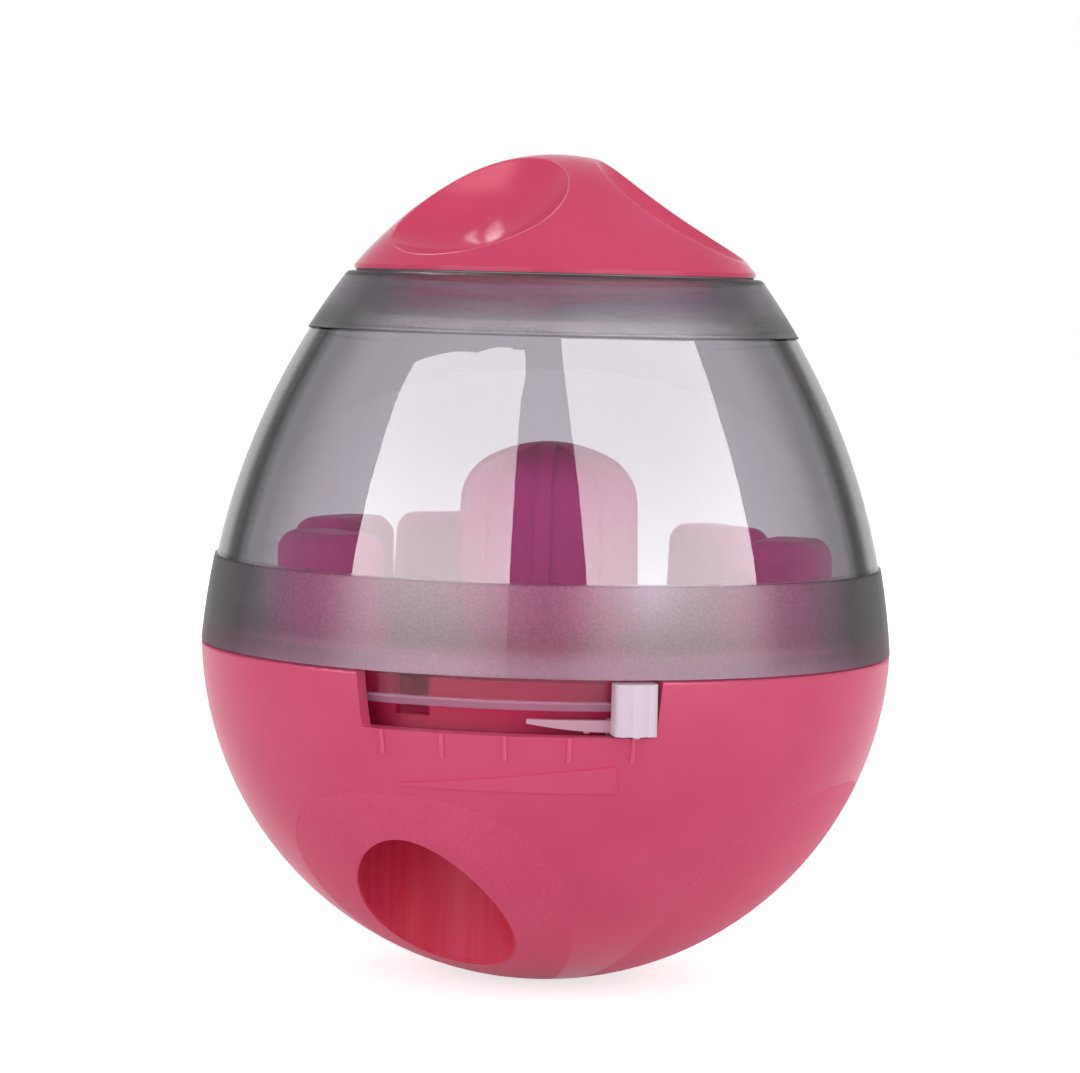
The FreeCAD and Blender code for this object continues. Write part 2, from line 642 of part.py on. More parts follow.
def tower_face(grow):
    """Half the section of the tower, a straight side under a rounded top, grown by a distance."""
    reach = TOWER_RADIUS - TOWER_CORNER_RADIUS
    height = TOWER_TOP - TOWER_SHOULDER
    crown_radius = (reach ** 2 + height ** 2 - TOWER_CORNER_RADIUS ** 2) / (2 * (height - TOWER_CORNER_RADIUS))
    lean = math.asin(reach / (crown_radius - TOWER_CORNER_RADIUS))
    middle = (math.pi / 2 + lean) / 2
    corner = TOWER_CORNER_RADIUS + grow
    meeting = (reach + corner * math.sin(lean), TOWER_SHOULDER + corner * math.cos(lean))
    return outline(
        (0, TRAY_UNDERSIDE),
        (TOWER_RADIUS + TOWER_DRAFT + grow, TRAY_UNDERSIDE),
        (TOWER_RADIUS + grow, TOWER_SHOULDER),
        ((reach + corner * math.sin(middle), TOWER_SHOULDER + corner * math.cos(middle)), meeting),
        crown(meeting[0], meeting[1], TOWER_TOP + grow),
    )


def tower():
    """The ribbed, hollow tower in the middle; treats glance off it."""
    body = turned(tower_face(0))
    star = []
    for index in range(TOWER_RIB_COUNT // 2):
        turn = TOWER_TURN + index * FULL_TURN / TOWER_RIB_COUNT
        star.append(block(TOWER_RIB_WIDTH, -FAR, FAR, TRAY_UNDERSIDE, FAR, turn))
    ribs = turned(tower_face(TOWER_RIB_PROUD)).common(star[0].fuse(star[1:]))
    return body.fuse(ribs), turned(tower_face(-TRAY_WALL))


def post_body(shrink, top):
    """A tapered block with rounded corners on the axis, smaller all round by a distance."""
    half_width = POST_WIDTH / 2 - shrink
    half_depth = POST_DEPTH / 2 - shrink
    corner = POST_CORNER_RADIUS - shrink / 2
    sections = []
    for height, spread in ((TRAY_UNDERSIDE, 0.0), (top, -POST_DRAFT)):
        wide = half_width + spread
        deep = half_depth + spread
        base = Part.makePlane(2 * wide, 2 * deep, Vector(-wide, -deep, height))
        solid = base.extrude(Vector(0, 0, 1))
        solid = rounded(solid, corner, is_upright)
        foot = min(solid.Faces, key=lambda face: face.CenterOfMass.z)
        sections.append(foot.OuterWire)
    body = Part.makeLoft(sections, True, True)
    return rounded(body, POST_TOP_ROUNDING - shrink / 2, lambda edge: lies_at(edge, top))


def posts():
    """The rounded posts of the labyrinth and the hollows inside them."""
    solid = post_body(0.0, POST_TOP)
    hollow = post_body(TRAY_WALL, POST_TOP - TRAY_WALL)
    bodies = []
    hollows = []
    for azimuth, inset in POSTS:
        for source, made in ((solid, bodies), (hollow, hollows)):
            copy = source.copy()
            copy.translate(Vector(0, inset - TRAY_RIM_OUTER_RADIUS, 0))
            copy.rotate(ORIGIN, UP, azimuth)
            made.append(copy)
    return bodies, hollows


def tray():
    """The labyrinth: floor with its flange, low rim, ribbed tower and posts, with the drop opening."""
    floor = rod(TRAY_FLANGE_RADIUS, TRAY_UNDERSIDE, TRAY_FLOOR)
    rim = ring(TRAY_RIM_OUTER_RADIUS - TRAY_RIM_WALL, TRAY_RIM_OUTER_RADIUS, TRAY_UNDERSIDE, TRAY_RIM_TOP)
    middle, middle_hollow = tower()
    bodies, hollows = posts()
    solid = floor.fuse([rim, middle] + bodies)
    relief = ring(
        TRAY_RIM_OUTER_RADIUS,
        FAR,
        TRAY_UNDERSIDE,
        TRAY_FLOOR,
        SILL_LEDGE_START - SILL_LEDGE_MARGIN,
        SILL_LEDGE_END + SILL_LEDGE_MARGIN,
    )
    notch = ring(
        TRAY_RIM_OUTER_RADIUS - 2 * TRAY_RIM_WALL,
        FAR,
        TRAY_NOTCH_FOOT,
        TRAY_RIM_TOP,
        TRAY_NOTCH_AZIMUTH - TRAY_NOTCH_HALF_ANGLE,
        TRAY_NOTCH_AZIMUTH + TRAY_NOTCH_HALF_ANGLE,
    )
    keyway = block(
        2 * (KEY_HALF_WIDTH + KEY_CLEARANCE),
        TRAY_LEDGE_RADIUS - KEY_CLEARANCE,
        BOWL_RADIUS,
        TRAY_UNDERSIDE,
        TRAY_FLOOR,
        KEY_AZIMUTH,
    )
    opening = rod(TRAY_OPENING_RADIUS, TRAY_UNDERSIDE, TRAY_FLOOR, CHUTE_AZIMUTH, CHUTE_DISTANCE)
    return solid.cut([relief, notch, keyway, opening, middle_hollow] + hollows).removeSplitter()


# Dome and cap


def egg_centre():
    """Centre of the arc from the rim of the bowl up to the cap, as distance and height."""
    low = (BOWL_RADIUS, DOME_FOOT)
    high = (DOME_TOP_RADIUS, DOME_TOP)
    run = high[0] - low[0]
    rise = high[1] - low[1]
    chord = math.hypot(run, rise)
    reach = math.sqrt(DOME_ARC_RADIUS ** 2 - (chord / 2) ** 2)
    return (
        (low[0] + high[0]) / 2 - reach * rise / chord,
        (low[1] + high[1]) / 2 + reach * run / chord,
    )


def egg(height, inset=0.0):
    """A point of the egg's outline at a height, moved in by a distance."""
    centre, middle = egg_centre()
    return (across(DOME_ARC_RADIUS - inset, height, centre, middle), height)


def egg_arc(foot, top, inset=0.0):
    """A step of an outline that follows the egg between two heights."""
    return (egg((foot + top) / 2, inset), egg(top, inset))


def frosted_band(foot, top):
    """A band that stands a little proud of the clear wall."""
    face = outline(
        egg(foot, DOME_WALL / 2),
        egg(foot),
        egg_arc(foot, top),
        egg(top, DOME_WALL / 2),
        egg_arc(top, foot, DOME_WALL / 2),
    )
    return turned(face)


def dome():
    """The smoky moulding: egg wall, frosted bands, neck for the cap and skirt with bayonet lugs."""
    inner = BAND_PROUD + DOME_WALL
    roof = DOME_TOP - ROOF_THICKNESS
    tube = NECK_BORE_RADIUS + NECK_TUBE_WALL
    skirt_inner = SKIRT_RADIUS - SKIRT_WALL
    step = DOME_FOOT + DOME_WALL
    face = outline(
        (skirt_inner, SKIRT_FOOT),
        (SKIRT_RADIUS - SKIRT_BEVEL, SKIRT_FOOT),
        (SKIRT_RADIUS, SKIRT_FOOT + SKIRT_BEVEL),
        (SKIRT_RADIUS, DOME_FOOT),
        egg(DOME_FOOT, BAND_PROUD),
        egg_arc(DOME_FOOT, DOME_TOP, BAND_PROUD),
        (NECK_BORE_RADIUS, DOME_TOP),
        (NECK_BORE_RADIUS, DOME_TOP - NECK_DEPTH),
        (tube, DOME_TOP - NECK_DEPTH),
        (tube, roof),
        egg(roof, inner),
        egg_arc(roof, step, inner),
        (skirt_inner, DOME_FOOT),
    )
    lugs = []
    for azimuth in LUG_AZIMUTHS:
        foot = SKIRT_FOOT + LUG_LIFT
        lugs.append(
            ring(SKIRT_RADIUS - SKIRT_WALL / 2, SKIRT_RADIUS + LUG_PROUD, foot, foot + LUG_THICKNESS,
                 azimuth - LUG_HALF_ANGLE, azimuth + LUG_HALF_ANGLE)
        )
    collar = frosted_band(COLLAR_FOOT, DOME_TOP)
    solid = fused(turned(face), frosted_band(DOME_FOOT, BAND_TOP), collar, *lugs)

    def shoulder(edge):
        return lies_at(edge, DOME_TOP) and edge.BoundBox.XMax > NECK_BORE_RADIUS + BAND_PROUD

    return rounded(solid, DOME_TOP_ROUNDING, shoulder)


def cap_seal():
    """The flat ring that the cap is screwed down on."""
    return ring(SEAL_INNER_RADIUS, SEAL_OUTER_RADIUS, DOME_TOP, CAP_FOOT)


def cap_form(inset, outer):
    """The cap's outside without its scoops, moved in by a distance and cut off at an outer radius."""
    edge = (CAP_RADIUS - inset, CAP_FOOT + CAP_EDGE_HEIGHT)
    shoulder = (CAP_SHOULDER_RADIUS, CAP_TOP - CAP_SHOULDER_DROP - inset)
    face = outline(
        (0, CAP_FOOT),
        (edge[0], CAP_FOOT),
        edge,
        (arc_middle(shoulder, edge, CAP_FLANK_RADIUS - inset), shoulder),
        crown(shoulder[0], shoulder[1], CAP_TOP - inset),
    )
    return turned(face).common(rod(outer, CAP_FOOT, CAP_TOP))


def scoop(azimuth, grow):
    """The barrel that hollows out one finger scoop, grown by a distance."""
    radius = SCOOP_RADIUS + grow
    barrel = SCOOP_BARREL_RADIUS + grow
    half_length = SCOOP_RADIUS + grow
    slack = math.sqrt(barrel ** 2 - half_length ** 2)
    end_radius = radius - (barrel - slack)
    start = Vector(-half_length, 0, 0)
    end = Vector(half_length, 0, 0)
    rise = Vector(0, 0, end_radius)
    edges = [
        Part.Arc(start + rise, Vector(0, 0, radius), end + rise).toShape(),
        Part.LineSegment(end + rise, end).toShape(),
        Part.LineSegment(end, start).toShape(),
        Part.LineSegment(start, start + rise).toShape(),
    ]
    body = Part.Face(Part.Wire(edges)).revolve(ORIGIN, Vector(1, 0, 0), FULL_TURN)
    slope = math.radians(SCOOP_SLOPE)
    lift = SCOOP_RADIUS - SCOOP_DEPTH
    body.translate(
        Vector(0, -SCOOP_DISTANCE - lift * math.sin(slope), CAP_TOP - SCOOP_DROP + lift * math.cos(slope))
    )
    body.rotate(ORIGIN, UP, azimuth)
    return body


def cap():
    """The grip with its three scoops, hollow inside, on the neck that carries the thread."""
    azimuths = [SCOOP_AZIMUTH + index * FULL_TURN / SCOOP_COUNT for index in range(SCOOP_COUNT)]
    grip = cap_form(0, FAR).cut([scoop(azimuth, 0) for azimuth in azimuths])
    crown = CAP_FOOT + CAP_EDGE_HEIGHT

    def scoop_lip(edge):
        return edge.BoundBox.ZMin > crown + 1e-3 and not lies_at(edge, edge.BoundBox.ZMax)

    grip = rounded(grip, SCOOP_ROUNDING, scoop_lip)
    neck = rod(CAP_NECK_RADIUS, CAP_FOOT - CAP_NECK_DEPTH, crown)
    bore = rod(CAP_NECK_RADIUS - CAP_NECK_WALL, CAP_FOOT - CAP_NECK_DEPTH, crown)
    inside = cap_form(CAP_WALL, CAP_NECK_RADIUS - CAP_NECK_WALL)
    inside = inside.cut([scoop(azimuth, CAP_WALL) for azimuth in azimuths])
    return fused(grip, neck).cut([bore, inside])


PIECES = {
    "bowl": bowl,
    "counterweight": counterweight,
    "screws": screws,
    "deck": deck,
    "gate": gate,
    "labyrinth_tray": tray,
    "dome": dome,
    "cap_seal": cap_seal,
    "cap": cap,
}

os.makedirs("parts", exist_ok=True)
for name, make in PIECES.items():
    shape = make()
    solids = shape.Solids
    print(name, "solids", len(solids), "valid", shape.isValid(), "volume", round(shape.Volume, 1))
    shape.exportStep("parts/" + name + ".step")
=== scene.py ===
"""Looks of an egg-shaped treat tumbler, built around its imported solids.

The solids carry every shape, so most of this file is finishes: coral pink plastic with frosted
patches, a smoky dome with frosted bands, a pale gate, turned steel and rubber. The threads are the
only added pieces. The toy's lengths are given in millimetres and turned into metres where a mesh or
a node is made; the studio's are in metres.
"""

import logging
import math
from dataclasses import dataclass
from enum import Enum
from typing import Any, Union

import bpy
from mathutils import Matrix, Vector


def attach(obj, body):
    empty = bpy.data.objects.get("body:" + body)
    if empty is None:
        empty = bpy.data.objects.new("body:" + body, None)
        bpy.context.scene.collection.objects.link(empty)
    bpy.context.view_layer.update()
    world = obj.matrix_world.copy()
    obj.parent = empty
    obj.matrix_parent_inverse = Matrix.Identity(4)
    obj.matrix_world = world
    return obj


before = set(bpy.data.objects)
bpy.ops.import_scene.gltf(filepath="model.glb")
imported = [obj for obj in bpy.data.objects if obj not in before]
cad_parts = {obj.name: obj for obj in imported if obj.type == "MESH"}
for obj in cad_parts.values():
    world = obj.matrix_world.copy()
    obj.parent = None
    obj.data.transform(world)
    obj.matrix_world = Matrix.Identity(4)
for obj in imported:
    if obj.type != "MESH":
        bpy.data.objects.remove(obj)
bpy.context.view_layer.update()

MM = 0.001
LOG = logging.getLogger("treat_tumbler")

MIX_LOW, MIX_HIGH, MIX_RESULT = 6, 7, 2    # sockets of a Mix node's colours

Colour = tuple[float, float, float]
Number = Union[int, float]
Span = tuple[float, float]
Stops = tuple[tuple[float, Colour], ...]
Rungs = tuple[tuple[Span, ...], ...]

BLACK: Colour = (0.0, 0.0, 0.0)
WHITE: Colour = (1.0, 1.0, 1.0)


def grey(value: float) -> Colour:
    """A neutral colour."""
    return value, value, value


def mm(span: Span) -> Span:
    """Turn two lengths from millimetres into metres."""
    return span[0] * MM, span[1] * MM


def srgb(red: int, green: int, blue: int) -> Colour:
    """Turn a colour as seen on screen into the linear values of a shader.

    Args:
        red: Red from 0 to 255.
        green: Green from 0 to 255.
        blue: Blue from 0 to 255.

    Returns:
        The three linear values.
    """
    def linear(channel: int) -> float:
        """Linear value of one channel."""
        share = channel / 255
        return share / 12.92 if share <= 0.04045 else ((share + 0.055) / 1.055) ** 2.4

    return linear(red), linear(green), linear(blue)


def on_axis(azimuth: float, radius: float, height: float) -> Vector:
    """Find a point of the toy.

    Args:
        azimuth: Degrees from the window's middle, growing towards +X.
        radius: Distance from the upright axis in millimetres.
        height: Height over the floor in millimetres.

    Returns:
        The point in metres.
    """
    angle = math.radians(azimuth)
    return Vector((radius * math.sin(angle), -radius * math.cos(angle), height)) * MM


# Shader graph


class Wire:
    """One output socket of a node, with which sums are written as plain expressions."""

    def __init__(self, sheet: "NodeSheet", socket: bpy.types.NodeSocket) -> None:
        """Keep the socket and the sheet that it is on."""
        self.sheet = sheet
        self.socket = socket

    def combine(self, operation: str, first: Any, second: Any = None) -> "Wire":
        """Add the node that works out an operation for this wire's kind of value.

        Args:
            operation: Name of the operation, as Math and Vector Math call it.
            first: Left value or wire.
            second: Right value or wire, if the operation has one.

        Returns:
            The result.
        """
        values = [value for value in (first, second) if value is not None]
        kinds = {value.socket.type for value in values if isinstance(value, Wire)}
        if "RGBA" in kinds:
            settings = {"data_type": "RGBA", "blend_type": operation}
            inputs = {"Factor": 1.0, MIX_LOW: first, MIX_HIGH: second}
            return self.sheet.wire("ShaderNodeMix", settings, inputs, MIX_RESULT)
        kind = "ShaderNodeVectorMath" if "VECTOR" in kinds else "ShaderNodeMath"
        return self.sheet.wire(kind, {"operation": operation}, dict(enumerate(values)))

    def __add__(self, other: Any) -> "Wire":
        """Sum."""
        return self.combine("ADD", self, other)

    def __radd__(self, other: Any) -> "Wire":
        """Sum with the wire on the right."""
        return self.combine("ADD", other, self)

    def __sub__(self, other: Any) -> "Wire":
        """Difference."""
        return self.combine("SUBTRACT", self, other)

    def __rsub__(self, other: Any) -> "Wire":
        """Difference with the wire on the right."""
        return self.combine("SUBTRACT", other, self)

    def __mul__(self, other: Any) -> "Wire":
        """Product."""
        return self.combine("MULTIPLY", self, other)

    def __rmul__(self, other: Any) -> "Wire":
        """Product with the wire on the right."""
        return self.combine("MULTIPLY", other, self)

    def __truediv__(self, other: Any) -> "Wire":
        """Quotient."""
        return self.combine("DIVIDE", self, other)

    def __pow__(self, other: Number) -> "Wire":
        """Power."""
        return self.combine("POWER", self, other)

    def __abs__(self) -> "Wire":
        """Size without its sign."""
        return self.combine("ABSOLUTE", self)

    def ramped(self, start: float, end: float, low: float = 0.0, high: float = 1.0) -> "Wire":
        """Lead the number smoothly from one value to another.

        Args:
            start: Number at which the result is low.
            end: Number at which the result is high.
            low: Result before the start.
            high: Result after the end.

        Returns:
            The smoothed number.
        """
        settings = {"interpolation_type": "SMOOTHSTEP", "clamp": True}
        span = {"From Min": start, "From Max": end, "To Min": low, "To Max": high}
        return self.sheet.wire("ShaderNodeMapRange", settings, {"Value": self, **span})

    def within(self, low: float, high: float, edge: float) -> "Wire":
        """1 between two values and 0 beyond them, with soft edges."""
        return self.ramped(low - edge, low + edge) * self.ramped(high + edge, high - edge)

    def tint(self, low: Any, high: Any) -> "Wire":
        """Mix two colours by this number; each is a colour or a wire."""
        ends = [end if isinstance(end, Wire) else (*end, 1) for end in (low, high)]
        inputs = {"Factor": self, MIX_LOW: ends[0], MIX_HIGH: ends[1]}
        return self.sheet.wire("ShaderNodeMix", {"data_type": "RGBA"}, inputs, MIX_RESULT)

    def graded(self, stops: "Stops") -> "Wire":
        """Lead the number through the colours of a ramp."""
        return self.sheet.wire("ShaderNodeValToRGB", {"stops": stops}, {"Fac": self})


class NodeSheet:
    """The node tree of one material or world."""

    def __init__(self, owner: Any) -> None:
        """Start an empty tree on a material or a world."""
        owner.use_nodes = True
        self.tree = owner.node_tree
        self.tree.nodes.clear()
        self.made: dict[str, Wire] = {}

    def node(self, kind: str, settings: dict[str, Any], inputs: dict[Any, Any]) -> bpy.types.Node:
        """Add a node.

        Args:
            kind: Type name of the node.
            settings: Attributes, set before the sockets; "stops" holds the stops of a ramp.
            inputs: Values or wires by socket name or number.

        Returns:
            The node.
        """
        made = self.tree.nodes.new(kind)
        for name, setting in settings.items():
            if name == "stops":
                self.fill(made.color_ramp.elements, setting)
            else:
                setattr(made, name, setting)
        for name, value in inputs.items():
            socket = made.inputs[name]
            if isinstance(value, Wire):
                self.tree.links.new(value.socket, socket)
            else:
                socket.default_value = value
        return made

    def fill(self, elements: Any, stops: Stops) -> None:
        """Set the stops of a ramp, given from low to high."""
        ends = [(elements[0], stops[0]), (elements[1], stops[-1])]
        for element, (position, colour) in ends:
            element.position = position
            element.color = (*colour, 1)
        for position, colour in stops[1:-1]:
            elements.new(position).color = (*colour, 1)

    def wire(
        self, kind: str, settings: dict[str, Any], inputs: dict[Any, Any], output: Any = 0
    ) -> Wire:
        """Add a node and take one of its outputs as a wire."""
        return Wire(self, self.node(kind, settings, inputs).outputs[output])

    def place(self) -> Wire:
        """Position on the object in metres, in the toy's own frame."""
        if "place" not in self.made:
            self.made["place"] = self.wire("ShaderNodeTexCoord", {}, {}, "Object")
        return self.made["place"]

    def part(self, axis: int) -> Wire:
        """One part of the position, 0 for x, 1 for y and 2 for z."""
        if "split" not in self.made:
            self.made["split"] = self.wire("ShaderNodeSeparateXYZ", {}, {0: self.place()})
        node = self.made["split"].socket.node
        return Wire(self, node.outputs[axis])

    def azimuth(self) -> Wire:
        """Degrees round the upright axis from the window's middle, growing towards +X."""
        inputs = {0: self.part(0), 1: -1 * self.part(1)}
        return self.wire("ShaderNodeMath", {"operation": "ARCTAN2"}, inputs) * math.degrees(1)

    def distance(self, centre: Vector = Vector((0, 0, 0)), flat: bool = True) -> Wire:
        """Measure how far the surface is from a point or an upright line.

        Args:
            centre: The point in metres.
            flat: Whether to measure from the upright line through the point.

        Returns:
            The distance in metres.
        """
        scale = Vector((1, 1, 0 if flat else 1))
        offset = (self.place() - tuple(centre)) * tuple(scale)
        return self.wire("ShaderNodeVectorMath", {"operation": "LENGTH"}, {0: offset}, "Value")

    def noise(self, size: float, detail: float = 2.0, stretch: Colour = (1, 1, 1)) -> Wire:
        """Make an even noise.

        Args:
            size: Size of its blotches in millimetres.
            detail: How many finer layers it has.
            stretch: Factors on the three axes; a small one draws the blotches out.

        Returns:
            The noise, from 0 to 1.
        """
        inputs = {"Vector": self.place() * stretch, "Scale": 1 / (size * MM), "Detail": detail}
        return self.wire("ShaderNodeTexNoise", {}, inputs)

    def bump(self, height: Wire, depth: float) -> Wire:
        """Turn a height from 0 to 1 into a normal.

        Args:
            height: The height.
            depth: Real depth in millimetres that a height of 1 stands for.

        Returns:
            The bent normal.
        """
        inputs = {"Height": height, "Distance": depth * MM}
        return self.wire("ShaderNodeBump", {}, inputs, "Normal")


# Finishes


class Dress(Enum):
    """The record's material slots for the added pieces; nothing in this script uses them."""

    CAP = "pink_gloss"
    DOME = "smoky_clear"
    SCREW = "screw_steel"


@dataclass(frozen=True)
class Finish:
    """What every finish has: a name, a roughness and a fine grain."""

    name: str
    roughness: float
    grain_size: float
    grain_depth: float

    def shader(self, sheet: NodeSheet) -> dict[str, Any]:
        """Values and wires of the Principled shader; each finish has its own."""
        raise NotImplementedError

    def surface(self, sheet: NodeSheet) -> Wire:
        """The whole surface; a finish of two layers mixes them here."""
        return sheet.wire("ShaderNodeBsdfPrincipled", {}, self.shader(sheet))

    def material(self) -> bpy.types.Material:
        """Make the material.

        Returns:
            The material, with its shader wired up.
        """
        material = bpy.data.materials.new(self.name)
        sheet = NodeSheet(material)
        sheet.node("ShaderNodeOutputMaterial", {}, {"Surface": self.surface(sheet)})
        return material


@dataclass(frozen=True)
class MouldedPlastic(Finish):
    """Opaque moulded plastic, a little uneven in colour and sheen as it cooled."""

    colour: Colour
    deep: Colour
    gloss: float = 0.3
    ior: float = 1.4
    drift_size: float = 19.0
    drift_spread: Span = (0.35, 0.65)
    drift_sheen: float = 0.05
    grain_sheen: float = 0.04

    def shader(self, sheet: NodeSheet) -> dict[str, Any]:
        """Colour drifting between the two, with fine grain."""
        drift = sheet.noise(self.drift_size, 3.0)
        grain = sheet.noise(self.grain_size)
        roughness = self.roughness + self.drift_sheen * (drift - 0.5)
        return {
            "Base Color": drift.ramped(*self.drift_spread).tint(self.colour, self.deep),
            "Roughness": roughness + self.grain_sheen * (grain - 0.5),
            "Normal": sheet.bump(grain, self.grain_depth),
            "IOR": self.ior,
            "Specular IOR Level": self.gloss,
        }


@dataclass(frozen=True)
class TrayPlastic(MouldedPlastic):
    """The tray's plastic, with painted shade: darker high up, and darker and redder low down, where
    only light from the bowl's pink wall reaches it.
    """

    # painted shade: a deeper colour high up and a darker, redder one low down
    top: Colour = (0.45, 0.031, 0.20)
    painted_high_shade_rise: Span = (74.0, 92.0)
    low: Colour = (0.42, 0.014, 0.066)
    painted_low_shade_rise: Span = (53.0, 57.0)

    def shader(self, sheet: NodeSheet) -> dict[str, Any]:
        """The moulded plastic, led to a painted darker shade high up and a painted redder shade low
        down.
        """
        values = super().shader(sheet)
        height = sheet.part(2)
        colour = height.ramped(*mm(self.painted_high_shade_rise)).tint(values["Base Color"], self.top)
        values["Base Color"] = height.ramped(*mm(self.painted_low_shade_rise)).tint(self.low, colour)
        return values


@dataclass(frozen=True)
class CapPlastic(MouldedPlastic):
    """The cap's plastic, rubbed duller by fingers towards its top."""

    rubbed_and_painted_highlight: float = 0.09
    rubbed_rise: Span = (121.0, 125.0)

    def shader(self, sheet: NodeSheet) -> dict[str, Any]:
        """The moulded plastic, rougher high up."""
        values = super().shader(sheet)
        rubbed_and_painted_highlight = sheet.part(2).ramped(*mm(self.rubbed_rise), 0.0, self.rubbed_and_painted_highlight)
        values["Roughness"] = values["Roughness"] + rubbed_and_painted_highlight
        return values


@dataclass(frozen=True)
class GatePlastic(MouldedPlastic):
    """The gate's plastic, with a painted pink shade inside the bowl's wall, where it lies in shadow
    and takes the pink light round it.
    """

    # painted shade: the finger inside the wall darkened and tinted pink
    painted_shade_pink: Colour = (0.58, 0.345, 0.44)
    wall: Span = (53.5, 53.1)

    def shader(self, sheet: NodeSheet) -> dict[str, Any]:
        """The moulded plastic, led to its painted pink shade inside the wall."""
        values = super().shader(sheet)
        inside = sheet.distance().ramped(*mm(self.wall))
        values["Base Color"] = inside.tint(values["Base Color"], self.painted_shade_pink)
        return values


@dataclass(frozen=True)
class FrostedPatch:
    """The four frosted patches round the bowl's lower half, arches that stand on its bottom."""

    azimuth: float = -20.0
    count: int = 4
    half_angle: float = 36.0
    top: float = 35.2
    power: float = 2.4
    softness: float = 0.006
    centre: float = 55.56
    skin: Span = (55.3, 55.7)

    def mask(self, sheet: NodeSheet) -> Wire:
        """1 inside the patches on the bowl's outside, 0 elsewhere."""
        settings = {"operation": "PINGPONG"}
        inputs = {0: sheet.azimuth() - self.azimuth, 1: 180 / self.count}
        aside = sheet.wire("ShaderNodeMath", settings, inputs) / self.half_angle
        up = sheet.part(2) / (self.top * MM)
        reach = (aside ** self.power + abs(up) ** self.power) ** (1 / self.power)
        inside = reach.ramped(1 + self.softness, 1 - self.softness)
        outer = sheet.distance(Vector((0, 0, self.centre * MM)), flat=False)
        return inside * outer.ramped(*mm(self.skin))


@dataclass(frozen=True)
class BowlPlastic(MouldedPlastic):
    """The bowl's plastic: satin gloss, with frosted patches, draw marks and painted streaky shade
    in the chute's bore, and a painted highlight on the raised ticks and wedge by the window.
    """

    patch: FrostedPatch = FrostedPatch()
    patch_roughness: float = 0.5
    patch_ripple: float = 0.15
    patch_grain_size: float = 0.45
    patch_grain_height: float = 0.6
    patch_step: float = 0.09
    speckle_spread: Span = (0.45, 0.7)
    speckle_share: float = 0.22
    # paler speckle in the frosted patches, and the painted highlight on the raised ticks and wedge
    speckle_and_highlight: Colour = (0.80, 0.14, 0.24)
    relief_skin: Span = (56.06, 56.18)
    relief_rise: Span = (41.0, 41.4)
    relief_shares: Span = (0.1, 0.5)
    chute_azimuth: float = -20.2
    chute_distance: float = 35.9
    chute_skin: Span = (12.64, 12.34)
    # painted shade in the chute's bore: deeper red, as in a shadowed hole, with lighter streaks
    # standing for reflected lamps
    painted_bore_shade: Colour = (0.62, 0.026, 0.066)
    mark_size: float = 1.6
    mark_stretch: Colour = (1, 1, 0.04)
    mark_spread: Span = (0.3, 0.7)
    painted_streak_shares: Span = (0.55, 1.0)
    mark_sheen: float = 0.12
    mark_height: float = 0.5

    def bore(self, sheet: NodeSheet) -> Wire:
        """1 on the wall of the chute."""
        axis = on_axis(self.chute_azimuth, self.chute_distance, 0)
        return sheet.distance(axis).ramped(*mm(self.chute_skin))

    def rubbed_and_painted_highlight(self, sheet: NodeSheet) -> Wire:
        """How much painted highlight the raised ticks by the window take, more than the wedge below
        them.
        """
        out = sheet.distance(Vector((0, 0, self.patch.centre * MM)), flat=False)
        share = sheet.part(2).ramped(*mm(self.relief_rise), *self.relief_shares)
        return out.ramped(*mm(self.relief_skin)) * share

    def shader(self, sheet: NodeSheet) -> dict[str, Any]:
        """Gloss outside the patches, frosting in them, draw marks and painted streaky shade in the
        bore, and a painted highlight on the raised ticks and wedge.
        """
        values = super().shader(sheet)
        frost = self.patch.mask(sheet)
        bore = self.bore(sheet)
        grain = sheet.noise(self.patch_grain_size, 1.0)
        marks_and_painted_streaks = sheet.noise(self.mark_size, 2.0, self.mark_stretch)
        speckle = frost * grain.ramped(*self.speckle_spread)
        colour = (self.speckle_share * speckle).tint(values["Base Color"], self.speckle_and_highlight)
        # painted highlight on the raised ticks and wedge by the window
        colour = self.rubbed_and_painted_highlight(sheet).tint(colour, self.speckle_and_highlight)
        # painted streaky shade in the bore
        streaked_bore_shade = bore * marks_and_painted_streaks.ramped(*self.mark_spread, *self.painted_streak_shares)
        frosted = self.patch_roughness + self.patch_ripple * (grain - 0.5)
        smooth = values["Roughness"] + self.mark_sheen * (marks_and_painted_streaks - 0.5) * bore
        height = frost * (self.patch_grain_height * grain - 1) + self.mark_height * marks_and_painted_streaks * bore
        values["Base Color"] = streaked_bore_shade.tint(colour, self.painted_bore_shade)
        values["Roughness"] = smooth * (1 - frost) + frosted * frost
        values["Normal"] = sheet.bump(height, self.patch_step)
        return values


@dataclass(frozen=True)
class Zones:
    """Masks of the dome's parts, each 1 in its own part and 0 elsewhere."""

    band: Wire
    collar: Wire
    skirt: Wire
    neck: Wire


